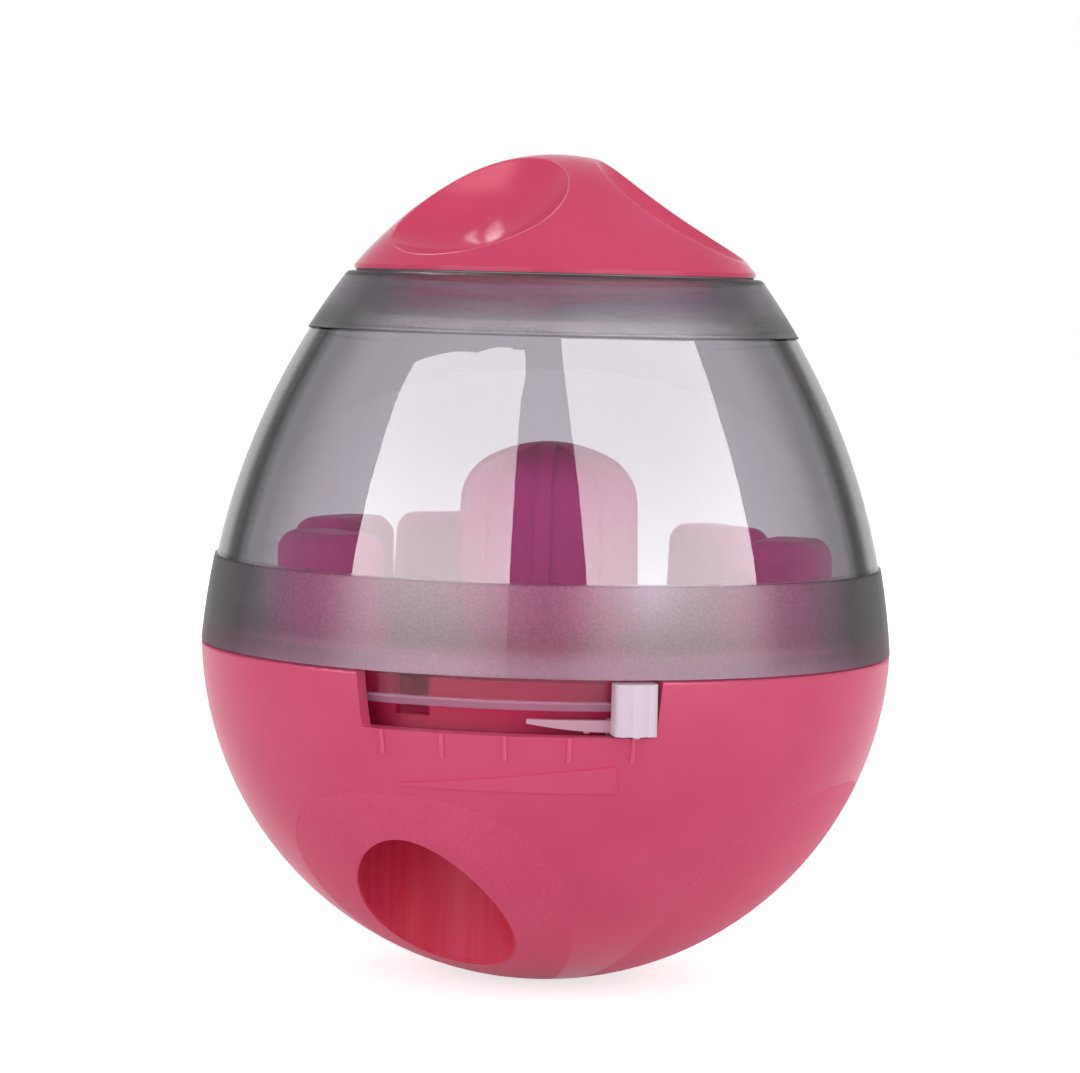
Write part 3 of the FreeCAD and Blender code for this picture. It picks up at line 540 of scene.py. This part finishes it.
@dataclass(frozen=True)
class SmokyClear(Finish):
    """The dome: smoky see-through plastic, polished but for two frosted bands on its outside."""

    clear: Stops
    frost: Stops
    collar_frost: Stops
    skirt: Colour
    band: Span
    collar: Span
    frost_roughness: float
    collar_roughness: float
    # painted shade where the wall is seen edge on
    rim: Stops
    band_rim: Stops
    ior: float = 1.35
    zone_edge: float = 0.1
    ripple: float = 0.1
    grain_spread: Span = (0.36, 0.64)
    band_grain: Span = (0.74, 1.0)
    collar_grain: Span = (0.85, 1.0)
    collar_top: Colour = (0.92, 0.66, 0.95)
    collar_rise: Span = (106.5, 110.0)
    streak_size: float = 0.9
    streak_stretch: Colour = (0.06, 0.06, 1)
    streak_spread: Span = (0.36, 0.66)
    streak_shades: Span = (1.0, 0.78)
    neck: Colour = (0.93, 0.90, 0.93)
    neck_deep: Colour = (0.77, 0.69, 0.87)
    neck_rise: Span = (106.8, 107.8)
    neck_radius: float = 31.8
    skirt_clearness: float = 0.3
    # painted light: a pale pink layer over the band's foot, where the wall would show the dark gap
    # below it; the collar takes a grey one
    haze_and_painted_light: Colour = (0.48, 0.25, 0.36)
    painted_foot_light_rise: Span = (54.6, 59.2)
    painted_foot_light_share: float = 0.42
    haze_roughness: float = 0.5
    haze_gloss: float = 0.1
    collar_haze_and_light: Colour = (0.44, 0.42, 0.44)
    # a hazier collar foot, and painted light on the collar's right side
    hazier_foot_share: float = 0.12
    painted_light_side: Span = (-18.0, 2.0)
    painted_light_side_share: float = 0.05
    streak_share: float = 0.08
    # painted highlight along the skirt's bottom edge
    painted_skirt_highlight: Span = (50.4, 50.1)
    painted_skirt_highlight_share: float = 0.58
    # painted shade: a near-black layer where the wall is seen edge on, and painted shadow under the
    # cap, at the collar's foot and along the bands' borders
    painted_shade_colour: Colour = (0.012, 0.012, 0.013)
    painted_shade_roughness: float = 0.3
    collar_rim: float = 0.7
    cap_shadow: Span = (113.0, 113.5)
    cap_shadow_share: float = 0.25
    painted_foot_shade: float = 0.16
    painted_shadow_lines: tuple[tuple[float, float, float], ...] = ((104.5, 104.85, 0.4), (67.6, 67.95, 0.15))
    edge_softness: float = 0.05

    def facing(self, sheet: NodeSheet) -> Wire:
        """0 where the wall faces the viewer and 1 where it is seen edge on."""
        return sheet.wire("ShaderNodeLayerWeight", {}, {"Blend": 0.5}, "Facing")

    def outside(self, sheet: NodeSheet) -> Wire:
        """1 on the side that looks away from the toy's foot and 0 on the inside."""
        normal = sheet.wire("ShaderNodeTexCoord", {}, {}, "Normal")
        settings = {"operation": "DOT_PRODUCT"}
        inputs = {0: normal, 1: sheet.place()}
        return sheet.wire("ShaderNodeVectorMath", settings, inputs, "Value").ramped(-MM, MM)

    def zones(self, sheet: NodeSheet) -> Zones:
        """Find the lower band, the collar, the skirt and the neck inside the collar."""
        height = sheet.part(2)
        edge = self.zone_edge * MM
        outside = self.outside(sheet)
        radius = self.neck_radius * MM
        inner = sheet.distance().ramped(radius + edge, radius - edge)
        return Zones(
            band=height.within(*mm(self.band), edge) * outside,
            collar=height.within(*mm(self.collar), edge) * outside,
            skirt=height.ramped(self.band[0] * MM, self.band[0] * MM - edge),
            neck=height.ramped(self.collar[0] * MM - edge, self.collar[0] * MM) * inner,
        )

    def streaks(self, sheet: NodeSheet) -> Wire:
        """Level streaks round the collar, from 0 to 1."""
        return sheet.noise(self.streak_size, 2.0, self.streak_stretch)

    def shader(self, sheet: NodeSheet) -> dict[str, Any]:
        """Clear between the bands, frosted in them."""
        zones = self.zones(sheet)
        height = sheet.part(2)
        facing = self.facing(sheet)
        grain = sheet.noise(self.grain_size, 1.0)
        frost = facing.graded(self.frost) * grain.ramped(*self.grain_spread, *self.band_grain)
        collar = facing.graded(self.collar_frost)
        collar = collar * grain.ramped(*self.grain_spread, *self.collar_grain)
        collar = collar * height.ramped(*mm(self.collar_rise)).tint(WHITE, self.collar_top)
        collar = collar * self.streaks(sheet).ramped(*self.streak_spread, *self.streak_shades)
        neck = height.ramped(*mm(self.neck_rise)).tint(self.neck, self.neck_deep)
        colour = zones.skirt.tint(facing.graded(self.clear), self.skirt)
        colour = zones.neck.tint(colour, neck)
        colour = zones.band.tint(colour, frost)
        colour = zones.collar.tint(colour, collar)
        ripple = self.ripple * (grain - 0.5)
        roughness = self.roughness + zones.band * (ripple + self.frost_roughness)
        return {
            "Base Color": colour,
            "Roughness": roughness + zones.collar * (ripple + self.collar_roughness),
            "Normal": sheet.bump((zones.band + zones.collar) * grain, self.grain_depth),
            "IOR": self.ior,
            "Transmission Weight": 1.0,
        }

    def hazed_and_lit(self, sheet: NodeSheet, zones: Zones) -> Wire:
        """Work out the hazy share: painted light at the band's foot and the collar's right, a
        hazier collar foot, and a painted highlight at the skirt's foot.

        Args:
            sheet: The dome's node tree.
            zones: Masks of the dome's parts.

        Returns:
            The hazy layer's share.
        """
        height = sheet.part(2)
        # painted light at the band's foot
        foot, top = mm(self.painted_foot_light_rise)
        low = height.ramped(top, foot, 0.0, self.painted_foot_light_share) * zones.band
        foot, top = mm(self.collar_rise)
        hazier_foot_and_lit_side = height.ramped(top, foot, 0.0, self.hazier_foot_share)
        # painted light on the collar's right side
        hazier_foot_and_lit_side = hazier_foot_and_lit_side + sheet.part(0).ramped(*mm(self.painted_light_side), 0.0, self.painted_light_side_share)
        streaks = self.streaks(sheet).ramped(*self.streak_spread, 0.0, self.streak_share)
        # painted highlight along the skirt's bottom edge
        painted_skirt_highlight = height.ramped(*mm(self.painted_skirt_highlight), 0.0, self.painted_skirt_highlight_share)
        return low + (hazier_foot_and_lit_side + streaks) * zones.collar + painted_skirt_highlight * zones.skirt * self.outside(sheet)

    def painted_shade_share(self, sheet: NodeSheet, zones: Zones) -> Wire:
        """Work out the painted shade: where the wall is seen edge on and at the collar's ends, a
        painted shadow under the cap, at the collar's foot and along the bands' borders.

        Args:
            sheet: The dome's node tree.
            zones: Masks of the dome's parts.

        Returns:
            The painted shade's share.
        """
        facing = self.facing(sheet)
        height = sheet.part(2)
        foot, top = mm(self.collar_rise)
        rim = facing.graded(self.rim) * (1 - zones.band - zones.collar)
        rim = rim + facing.graded(self.band_rim) * (zones.band + self.collar_rim * zones.collar)
        rim = rim + height.ramped(*mm(self.cap_shadow), 0.0, self.cap_shadow_share) * zones.collar
        rim = rim + height.ramped(top, foot, 0.0, self.painted_foot_shade) * zones.collar
        for start, end, share in self.painted_shadow_lines:
            rim = rim + share * height.within(start * MM, end * MM, self.edge_softness * MM)
        return rim * self.outside(sheet)

    def surface(self, sheet: NodeSheet) -> Wire:
        """The smoky plastic, under a clearer layer in the skirt, a hazy layer that carries painted
        light, and a layer of painted shade.
        """
        zones = self.zones(sheet)
        bare = sheet.wire("ShaderNodeBsdfTransparent", {}, {"Color": (*self.skirt, 1)})
        haze_and_painted_light = sheet.wire("ShaderNodeBsdfPrincipled", {}, {
            "Base Color": zones.collar.tint(self.haze_and_painted_light, self.collar_haze_and_light),
            "Roughness": self.haze_roughness,
            "Specular IOR Level": self.haze_gloss,
        })
        painted_shade_layer = sheet.wire("ShaderNodeBsdfPrincipled", {}, {
            "Base Color": (*self.painted_shade_colour, 1),
            "Roughness": self.painted_shade_roughness,
            "Specular IOR Level": 0.0,
        })
        layers = (
            (self.skirt_clearness * zones.skirt, bare),
            (self.hazed_and_lit(sheet, zones), haze_and_painted_light),
            (self.painted_shade_share(sheet, zones), painted_shade_layer),
        )
        surface = super().surface(sheet)
        for share, layer in layers:
            surface = sheet.wire("ShaderNodeMixShader", {}, {0: share, 1: surface, 2: layer})
        return surface


@dataclass(frozen=True)
class TurnedSteel(Finish):
    """Steel with the fine rings of a lathe about an upright axis."""

    colour: Colour
    ring_width: float
    ring_sheen: float = 0.12
    stain_size: float = 6.0
    stain_spread: Span = (0.4, 0.7)
    stain_shade: float = 0.8
    stain_sheen: float = 0.1
    grain_share: float = 0.3

    def rings(self, sheet: NodeSheet) -> Wire:
        """Fine rings about the axis, from 0 to 1."""
        inputs = {"W": sheet.distance(), "Scale": 1 / (self.ring_width * MM), "Detail": 2.0}
        return sheet.wire("ShaderNodeTexNoise", {"noise_dimensions": "1D"}, inputs)

    def shader(self, sheet: NodeSheet) -> dict[str, Any]:
        """Rings in sheen and height, with a faint stain."""
        rings = self.rings(sheet)
        stain = sheet.noise(self.stain_size, 3.0)
        dull = tuple(self.stain_shade * channel for channel in self.colour)
        roughness = self.roughness + self.ring_sheen * (rings - 0.5)
        height = rings + self.grain_share * sheet.noise(self.grain_size)
        return {
            "Base Color": stain.ramped(*self.stain_spread).tint(self.colour, dull),
            "Metallic": 1.0,
            "Roughness": roughness + self.stain_sheen * (stain - 0.5),
            "Normal": sheet.bump(height, self.grain_depth),
        }


@dataclass(frozen=True)
class Rubber(Finish):
    """Matt rubber with a dusty bloom."""

    colour: Colour
    bloom: Colour
    bloom_size: float = 3.0
    bloom_spread: Span = (0.45, 0.75)
    bloom_sheen: float = 0.1

    def shader(self, sheet: NodeSheet) -> dict[str, Any]:
        """Dark rubber, paler where it has bloomed."""
        dust = sheet.noise(self.bloom_size, 3.0)
        return {
            "Base Color": dust.ramped(*self.bloom_spread).tint(self.colour, self.bloom),
            "Roughness": self.roughness + self.bloom_sheen * (dust - 0.5),
            "Normal": sheet.bump(sheet.noise(self.grain_size), self.grain_depth),
        }


BOWL_PINK = BowlPlastic(
    name="coral_pink_bowl",
    roughness=0.34,
    grain_size=0.5,
    grain_depth=0.004,
    colour=srgb(212, 82, 118),
    deep=srgb(208, 77, 113),
    gloss=0.15,
    ior=1.4,
)
CAP_PINK = CapPlastic(
    name="coral_pink_cap",
    roughness=0.13,
    grain_size=0.5,
    grain_depth=0.003,
    colour=srgb(212, 79, 112),
    deep=srgb(208, 73, 107),
    gloss=0.06,
    ior=1.4,
)
TRAY_PINK = TrayPlastic(
    name="satin_pink",
    roughness=0.42,
    grain_size=0.4,
    grain_depth=0.01,
    colour=srgb(200, 53, 138),
    deep=srgb(194, 50, 132),
    gloss=0.15,
    ior=1.35,
)
PALE_LILAC = GatePlastic(
    name="pale_lilac",
    roughness=0.38,
    grain_size=0.4,
    grain_depth=0.006,
    colour=srgb(218, 200, 214),
    deep=srgb(212, 192, 207),
    gloss=0.2,
)
SMOKY = SmokyClear(
    name="smoky_clear",
    roughness=0.015,
    grain_size=0.45,
    grain_depth=0.019,
    clear=(
        (0.0, (0.66, 0.63, 0.67)),
        (0.2, (0.62, 0.59, 0.63)),
        (0.4, (0.53, 0.50, 0.54)),
        (0.5, (0.37, 0.35, 0.38)),
        (0.6, (0.16, 0.15, 0.165)),
    ),
    frost=((0.0, (0.80, 0.56, 0.79)), (0.3, (0.59, 0.40, 0.58)), (0.55, (0.12, 0.10, 0.12))),
    collar_frost=((0.0, (1.0, 0.92, 1.0)), (0.3, (0.88, 0.81, 0.88)), (0.55, (0.15, 0.14, 0.15))),
    skirt=(0.90, 0.86, 0.90),
    band=(54.0, 67.9),
    collar=(104.7, 114.2),
    frost_roughness=0.31,
    collar_roughness=0.2,
    # painted shade where the wall is seen edge on
    rim=((0.58, BLACK), (0.66, grey(0.75)), (0.72, grey(0.75)), (0.79, grey(0.22))),
    band_rim=((0.35, BLACK), (0.58, grey(0.45)), (0.8, grey(0.5)), (1.0, grey(0.3))),
)
STEEL = TurnedSteel(
    name="turned_steel",
    roughness=0.34,
    grain_size=0.3,
    grain_depth=0.004,
    colour=(0.55, 0.55, 0.56),
    ring_width=0.4,
)
ZINC = TurnedSteel(
    name="zinc_plated",
    roughness=0.26,
    grain_size=0.2,
    grain_depth=0.003,
    colour=(0.66, 0.67, 0.68),
    ring_width=0.15,
)
SEAL_BLACK = Rubber(
    name="seal_rubber",
    roughness=0.62,
    grain_size=0.3,
    grain_depth=0.01,
    colour=(0.025, 0.025, 0.028),
    bloom=(0.06, 0.06, 0.062),
)


def dress(node: str, finish: bpy.types.Material) -> None:
    """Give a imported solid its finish, in every slot that it has."""
    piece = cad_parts[node]
    for entry in piece.material_slots:
        entry.material = finish
    if not piece.material_slots:
        piece.data.materials.append(finish)
    LOG.info("%s dressed in %s", node, finish.name)


# Added pieces


@dataclass(frozen=True)
class Ridge:
    """A helical thread ridge, in millimetres and degrees; its ends run out into the root."""

    root_radius: float
    crest_radius: float
    root_width: float
    crest_width: float
    lead: float
    middle: float
    start: float
    end: float
    run_out: float = 25.0
    step: float = 4.0
    least_rise: float = 0.05
    sharp_from: float = 35.0

    def rings(self) -> list[list[Vector]]:
        """Work out the sections along the ridge.

        Returns:
            One section after another, each four points in metres.
        """
        count = round((self.end - self.start) / self.step)
        sections = []
        for index in range(count + 1):
            angle = self.start + (self.end - self.start) * index / count
            share = min(1.0, (angle - self.start) / self.run_out, (self.end - angle) / self.run_out)
            rise = max(math.sin(share * math.pi / 2), self.least_rise)
            crest = self.root_radius + (self.crest_radius - self.root_radius) * rise
            height = self.middle + self.lead * angle / 360
            wide = self.root_width / 2
            narrow = self.crest_width / 2
            sections.append([
                on_axis(angle, self.root_radius, height - wide),
                on_axis(angle, crest, height - narrow),
                on_axis(angle, crest, height + narrow),
                on_axis(angle, self.root_radius, height + wide),
            ])
        return sections

    def mesh(
        self, name: str, places: tuple[Vector, ...] = (Vector((0, 0, 0)),)
    ) -> bpy.types.Object:
        """Make the ridge as an object, once at each place.

        Args:
            name: Name of the piece.
            places: Where copies of the ridge stand, in metres.

        Returns:
            The object, linked to the scene.
        """
        points: list[Vector] = []
        faces: list[tuple[int, ...]] = []
        sections = self.rings()
        size = len(sections[0])
        for place in places:
            base = len(points)
            points += [place + point for section in sections for point in section]
            for row in range(len(sections) - 1):
                low = base + row * size
                high = low + size
                for corner in range(size):
                    after = (corner + 1) % size
                    faces.append((low + corner, low + after, high + after, high + corner))
            last = base + (len(sections) - 1) * size
            faces.append(tuple(range(base + size - 1, base - 1, -1)))
            faces.append(tuple(range(last, last + size)))
        mesh = bpy.data.meshes.new(name)
        mesh.from_pydata(points, [], faces)
        mesh.validate()
        mesh.shade_smooth()
        mesh.set_sharp_from_angle(angle=math.radians(self.sharp_from))
        piece = bpy.data.objects.new(name, mesh)
        bpy.context.scene.collection.objects.link(piece)
        return piece


def settle(piece: bpy.types.Object, body: str, finish: bpy.types.Material) -> None:
    """Finish an added piece and let it ride.

    Args:
        piece: The new piece, in place.
        body: Body that it moves with.
        finish: Its material.
    """
    piece.data.materials.append(finish)
    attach(piece, body)
    LOG.info("%s made, riding on %s", piece.name, body)


# Sub-assemblies


@dataclass
class LowerHalf:
    """Bowl with its counterweight, deck, screws and labyrinth tray."""

    screw_azimuths: tuple[float, ...] = (75.0, 165.0, 255.0)
    screw_circle: float = 36.0
    deck_seat: float = 38.1
    weight_seat: float = 16.0
    thread: Ridge = Ridge(
        root_radius=1.3,
        crest_radius=1.85,
        root_width=0.75,
        crest_width=0.12,
        lead=1.1,
        middle=-7.3,
        start=0.0,
        end=2340.0,
        run_out=90.0,
        step=20.0,
    )

    def build(self) -> bpy.types.Object:
        """Make the thread of each screw, all in one piece."""
        places = [
            on_axis(azimuth, self.screw_circle, self.deck_seat) for azimuth in self.screw_azimuths
        ]
        places.append(on_axis(0, 0, self.weight_seat))
        return self.thread.mesh("screw_threads", tuple(places))

    def dress(self) -> None:
        """Build what is added and give every piece its finish."""
        zinc = ZINC.material()
        tray = TRAY_PINK.material()
        dress("bowl", BOWL_PINK.material())
        dress("deck", tray)
        dress("labyrinth_tray", tray)
        dress("counterweight", STEEL.material())
        dress("screws", zinc)
        settle(self.build(), "bowl", zinc)


@dataclass
class Gate:
    """The flat shutter with its knob and finger, one moulding."""

    def dress(self) -> None:
        """Give it its finish."""
        dress("gate", PALE_LILAC.material())


@dataclass
class Dome:
    """The smoky dome, with the thread in its neck."""

    thread: Ridge = Ridge(
        root_radius=29.6,
        crest_radius=28.3,
        root_width=2.2,
        crest_width=1.0,
        lead=6.0,
        middle=108.0,
        start=5.0,
        end=295.0,
    )

    def dress(self) -> None:
        """Build the thread and give both their finish."""
        smoky = SMOKY.material()
        dress("dome", smoky)
        settle(self.thread.mesh("dome_thread"), "dome", smoky)


@dataclass
class Cap:
    """The scooped screw cap with its thread, and the seal under it."""

    thread: Ridge = Ridge(
        root_radius=27.7,
        crest_radius=29.05,
        root_width=2.6,
        crest_width=1.4,
        lead=6.0,
        middle=111.0,
        start=-140.0,
        end=150.0,
    )

    def dress(self) -> None:
        """Build the thread and give all three their finish."""
        pink = CAP_PINK.material()
        dress("cap", pink)
        dress("cap_seal", SEAL_BLACK.material())
        settle(self.thread.mesh("cap_thread"), "cap", pink)


# Studio


@dataclass(frozen=True)
class Softbox:
    """A big upright rectangular lamp, in metres; its own reflection is left to a sheet of light."""

    name: str
    azimuth: float
    size: tuple[float, float]
    middle: tuple[float, float]
    power: float
    distance: float = 0.9

    def build(self) -> None:
        """Add the lamp."""
        data = bpy.data.lights.new(self.name, "AREA")
        data.shape = "RECTANGLE"
        data.size, data.size_y = self.size
        data.energy = self.power
        holder = bpy.data.objects.new(self.name, data)
        angle = math.radians(self.azimuth)
        out = Vector((math.sin(angle), -math.cos(angle), 0))
        along = Vector((math.cos(angle), math.sin(angle), 0))
        aside, height = self.middle
        place = out * self.distance + along * aside + Vector((0, 0, height))
        facing = Vector((place.x, place.y, 0)).to_track_quat("Z", "Y")
        holder.matrix_world = Matrix.Translation(place) @ facing.to_matrix().to_4x4()
        for ray in ("camera", "glossy", "transmission"):
            setattr(holder, "visible_" + ray, False)
        bpy.context.scene.collection.objects.link(holder)
        LOG.info("%s stands", self.name)


@dataclass(frozen=True)
class LightSheet:
    """A sheet of light that only reflections show, by rungs of azimuth and height in metres."""

    name: str
    glow: float
    rungs: Rungs
    dim_top: float = 0.7
    dim_top_rise: Span = (0.3, 0.7)
    dim_foot: float = 0.5
    dim_foot_rise: Span = (0.32, 0.2)
    distance: float = 0.9
    centre: float = 0.085

    def spot(self, azimuth: float, height: float) -> Vector:
        """A point of the sheet, all of which is equally far from the toy's middle."""
        reach = math.sqrt(self.distance ** 2 - (height - self.centre) ** 2)
        return on_axis(azimuth, reach / MM, height / MM)

    def build(self) -> None:
        """Add the sheet."""
        mesh = bpy.data.meshes.new(self.name)
        wide = len(self.rungs[0])
        points = [self.spot(azimuth, height) for rung in self.rungs for azimuth, height in rung]
        faces = []
        for row in range(len(self.rungs) - 1):
            for column in range(wide - 1):
                corner = row * wide + column
                faces.append((corner, corner + 1, corner + wide + 1, corner + wide))
        mesh.from_pydata(points, [], faces)
        material = bpy.data.materials.new(self.name + "_glow")
        nodes = NodeSheet(material)
        foot = nodes.part(2).ramped(*self.dim_foot_rise)
        shade = nodes.part(2).ramped(*self.dim_top_rise).tint(WHITE, grey(self.dim_top))
        glow = nodes.wire("ShaderNodeBsdfPrincipled", {}, {
            "Base Color": (*BLACK, 1),
            "Specular IOR Level": 0.0,
            "Emission Color": foot.tint(shade, grey(self.dim_foot)),
            "Emission Strength": self.glow,
        })
        nodes.node("ShaderNodeOutputMaterial", {}, {"Surface": glow})
        mesh.materials.append(material)
        piece = bpy.data.objects.new(self.name, mesh)
        for ray in ("camera", "diffuse", "transmission", "volume_scatter", "shadow"):
            setattr(piece, "visible_" + ray, False)
        bpy.context.scene.collection.objects.link(piece)


LEFT_RUNGS = (
    ((-62.0, 0.01), (-35.3, 0.01), (-8.6, 0.01)),
    ((-62.8, 0.255), (-35.7, 0.291), (-8.6, 0.327)),
    ((-63.9, 0.392), (-35.9, 0.44), (-7.9, 0.487)),
    ((-66.2, 0.536), (-36.5, 0.592), (-6.8, 0.648)),
    ((-69.5, 0.652), (-37.9, 0.725), (-6.3, 0.798)),
    ((-69.5, 0.709), (-38.6, 0.785), (-7.7, 0.828)),
    ((-63.2, 0.739), (-39.0, 0.8), (-14.0, 0.836)),
)
RIGHT_RUNGS = (
    ((19.5, 0.01), (50.0, 0.01), (80.6, 0.01)),
    ((19.2, 0.338), (49.9, 0.301), (80.6, 0.265)),
    ((17.0, 0.586), (49.5, 0.512), (81.9, 0.438)),
    ((14.6, 0.715), (49.6, 0.655), (84.6, 0.596)),
    ((11.4, 0.827), (52.0, 0.79), (91.0, 0.722)),
    ((10.4, 0.859), (56.0, 0.829), (92.6, 0.726)),
)
BACK_LEFT_RUNGS = (
    ((-154.3, 0.742), (-154.7, 0.719)),
    ((-152.5, 0.81), (-152.0, 0.755)),
    ((-149.7, 0.866), (-150.3, 0.79)),
    ((-143.7, 0.882), (-138.7, 0.862)),
    ((-130.0, 0.902), (-130.0, 0.885)),
)
BACK_RIGHT_RUNGS = (
    ((-155.5, 0.668), (-152.0, 0.64)),
    ((-149.0, 0.74), (-150.1, 0.668)),
    ((-141.5, 0.805), (-137.8, 0.739)),
    ((-124.5, 0.847), (-125.7, 0.794)),
    ((-113.5, 0.847), (-111.2, 0.827)),
)


@dataclass(frozen=True)
class Studio:
    """Pale floor, white surroundings, four softboxes, what is seen of the lights and the camera."""

    softboxes: tuple[Softbox, ...] = (
        Softbox("softbox_left", -37.0, size=(1.13, 1.65), middle=(-0.065, 0.835), power=5.9),
        Softbox("softbox_right", 50.0, size=(1.63, 2.17), middle=(0.085, 1.095), power=9.4),
        Softbox("softbox_back_left", -158.0, size=(0.9, 1.3), middle=(0.0, 0.95), power=2.8),
        Softbox("softbox_back_right", 158.0, size=(0.9, 1.3), middle=(0.0, 0.95), power=2.8),
    )
    sheets: tuple[LightSheet, ...] = (
        LightSheet("sheet_left", glow=21.0, rungs=LEFT_RUNGS),
        LightSheet("sheet_right", glow=21.0, rungs=RIGHT_RUNGS),
        LightSheet("sheet_back_left", glow=18.0, rungs=BACK_LEFT_RUNGS),
        LightSheet("sheet_back_right", glow=18.0, rungs=BACK_RIGHT_RUNGS),
    )
    world_light: float = 0.42
    floor_radius: float = 6.0
    floor_corners: int = 96
    floor_drop: float = 0.0001
    floor_shade: float = 0.8
    floor_roughness: float = 0.9
    floor_gloss: float = 0.1
    floor_glow: float = 0.7
    camera_distance: float = 0.6
    camera_height: float = 0.11266
    camera_azimuth: float = 6.0
    camera_yaw: float = 0.13
    camera_pitch: float = 3.93
    camera_roll: float = 1.44
    camera_lens: float = 123.0
    camera_sensor: float = 36.0

    def backdrop_rays(self, sheet: NodeSheet) -> Wire:
        """1 for the rays that show the white backdrop: camera, glossy and transmission rays."""
        outputs = sheet.node("ShaderNodeLightPath", {}, {}).outputs
        camera, glossy, transmitted = (
            Wire(sheet, outputs[f"Is {kind} Ray"]) for kind in ("Camera", "Glossy", "Transmission")
        )
        settings = {"operation": "ADD", "use_clamp": True}
        return sheet.wire("ShaderNodeMath", settings, {0: camera + glossy, 1: transmitted})

    def world(self) -> None:
        """White surroundings, dimmer as a light on the toy."""
        world = bpy.data.worlds.new("studio")
        bpy.context.scene.world = world
        sheet = NodeSheet(world)
        shown = self.backdrop_rays(sheet)
        strength = self.world_light + (1 - self.world_light) * shown
        inputs = {"Color": (*WHITE, 1), "Strength": strength}
        light = sheet.wire("ShaderNodeBackground", {}, inputs)
        sheet.node("ShaderNodeOutputWorld", {}, {"Surface": light})

    def floor(self) -> None:
        """A pale round floor that glows enough to meet the backdrop and keeps the toy's shadow."""
        mesh = bpy.data.meshes.new("floor")
        corners = range(self.floor_corners)
        reach = self.floor_radius
        turns = [2 * math.pi * index / self.floor_corners for index in corners]
        rim = [(reach * math.cos(turn), reach * math.sin(turn), 0) for turn in turns]
        mesh.from_pydata(rim, [], [tuple(corners)])
        piece = bpy.data.objects.new("floor", mesh)
        piece.location.z = -self.floor_drop
        material = bpy.data.materials.new("pale_floor")
        sheet = NodeSheet(material)
        glow = self.backdrop_rays(sheet) * self.floor_glow
        surface = sheet.wire("ShaderNodeBsdfPrincipled", {}, {
            "Base Color": (*grey(self.floor_shade), 1),
            "Roughness": self.floor_roughness,
            "Specular IOR Level": self.floor_gloss,
            "Emission Color": glow.tint(BLACK, WHITE),
            "Emission Strength": 1.0,
        })
        sheet.node("ShaderNodeOutputMaterial", {}, {"Surface": surface})
        mesh.materials.append(material)
        bpy.context.scene.collection.objects.link(piece)

    def camera(self) -> None:
        """The camera where the picture was taken from."""
        around, yaw, pitch, roll = (
            math.radians(angle)
            for angle in (self.camera_azimuth, self.camera_yaw, self.camera_pitch, self.camera_roll)
        )
        ahead = Vector((-math.sin(around), math.cos(around), 0))
        right = Vector((math.cos(around), math.sin(around), 0))
        up = Vector((0, 0, 1))
        turned = ahead * math.cos(yaw) - right * math.sin(yaw)
        side = right * math.cos(yaw) + ahead * math.sin(yaw)
        view = turned * math.cos(pitch) - up * math.sin(pitch)
        top = up * math.cos(pitch) + turned * math.sin(pitch)
        x_axis = side * math.cos(roll) + top * math.sin(roll)
        y_axis = top * math.cos(roll) - side * math.sin(roll)
        data = bpy.data.cameras.new("camera")
        data.lens = self.camera_lens
        data.sensor_width = self.camera_sensor
        data.sensor_fit = "HORIZONTAL"
        camera = bpy.data.objects.new("camera", data)
        matrix = Matrix((x_axis, y_axis, -view)).transposed().to_4x4()
        matrix.translation = -ahead * self.camera_distance + up * self.camera_height
        camera.matrix_world = matrix
        bpy.context.scene.collection.objects.link(camera)
        bpy.context.scene.camera = camera

    def build(self) -> None:
        """Set the studio up."""
        bpy.context.scene.view_settings.view_transform = "Standard"
        self.camera()
        self.world()
        self.floor()
        for light in self.softboxes + self.sheets:
            light.build()


def main() -> None:
    """Build the studio and dress the toy from its foot up."""
    logging.basicConfig(level=logging.INFO, format="%(name)s: %(message)s")
    Studio().build()
    for assembly in (LowerHalf(), Gate(), Dome(), Cap()):
        assembly.dress()


if __name__ == "__main__":
    main()
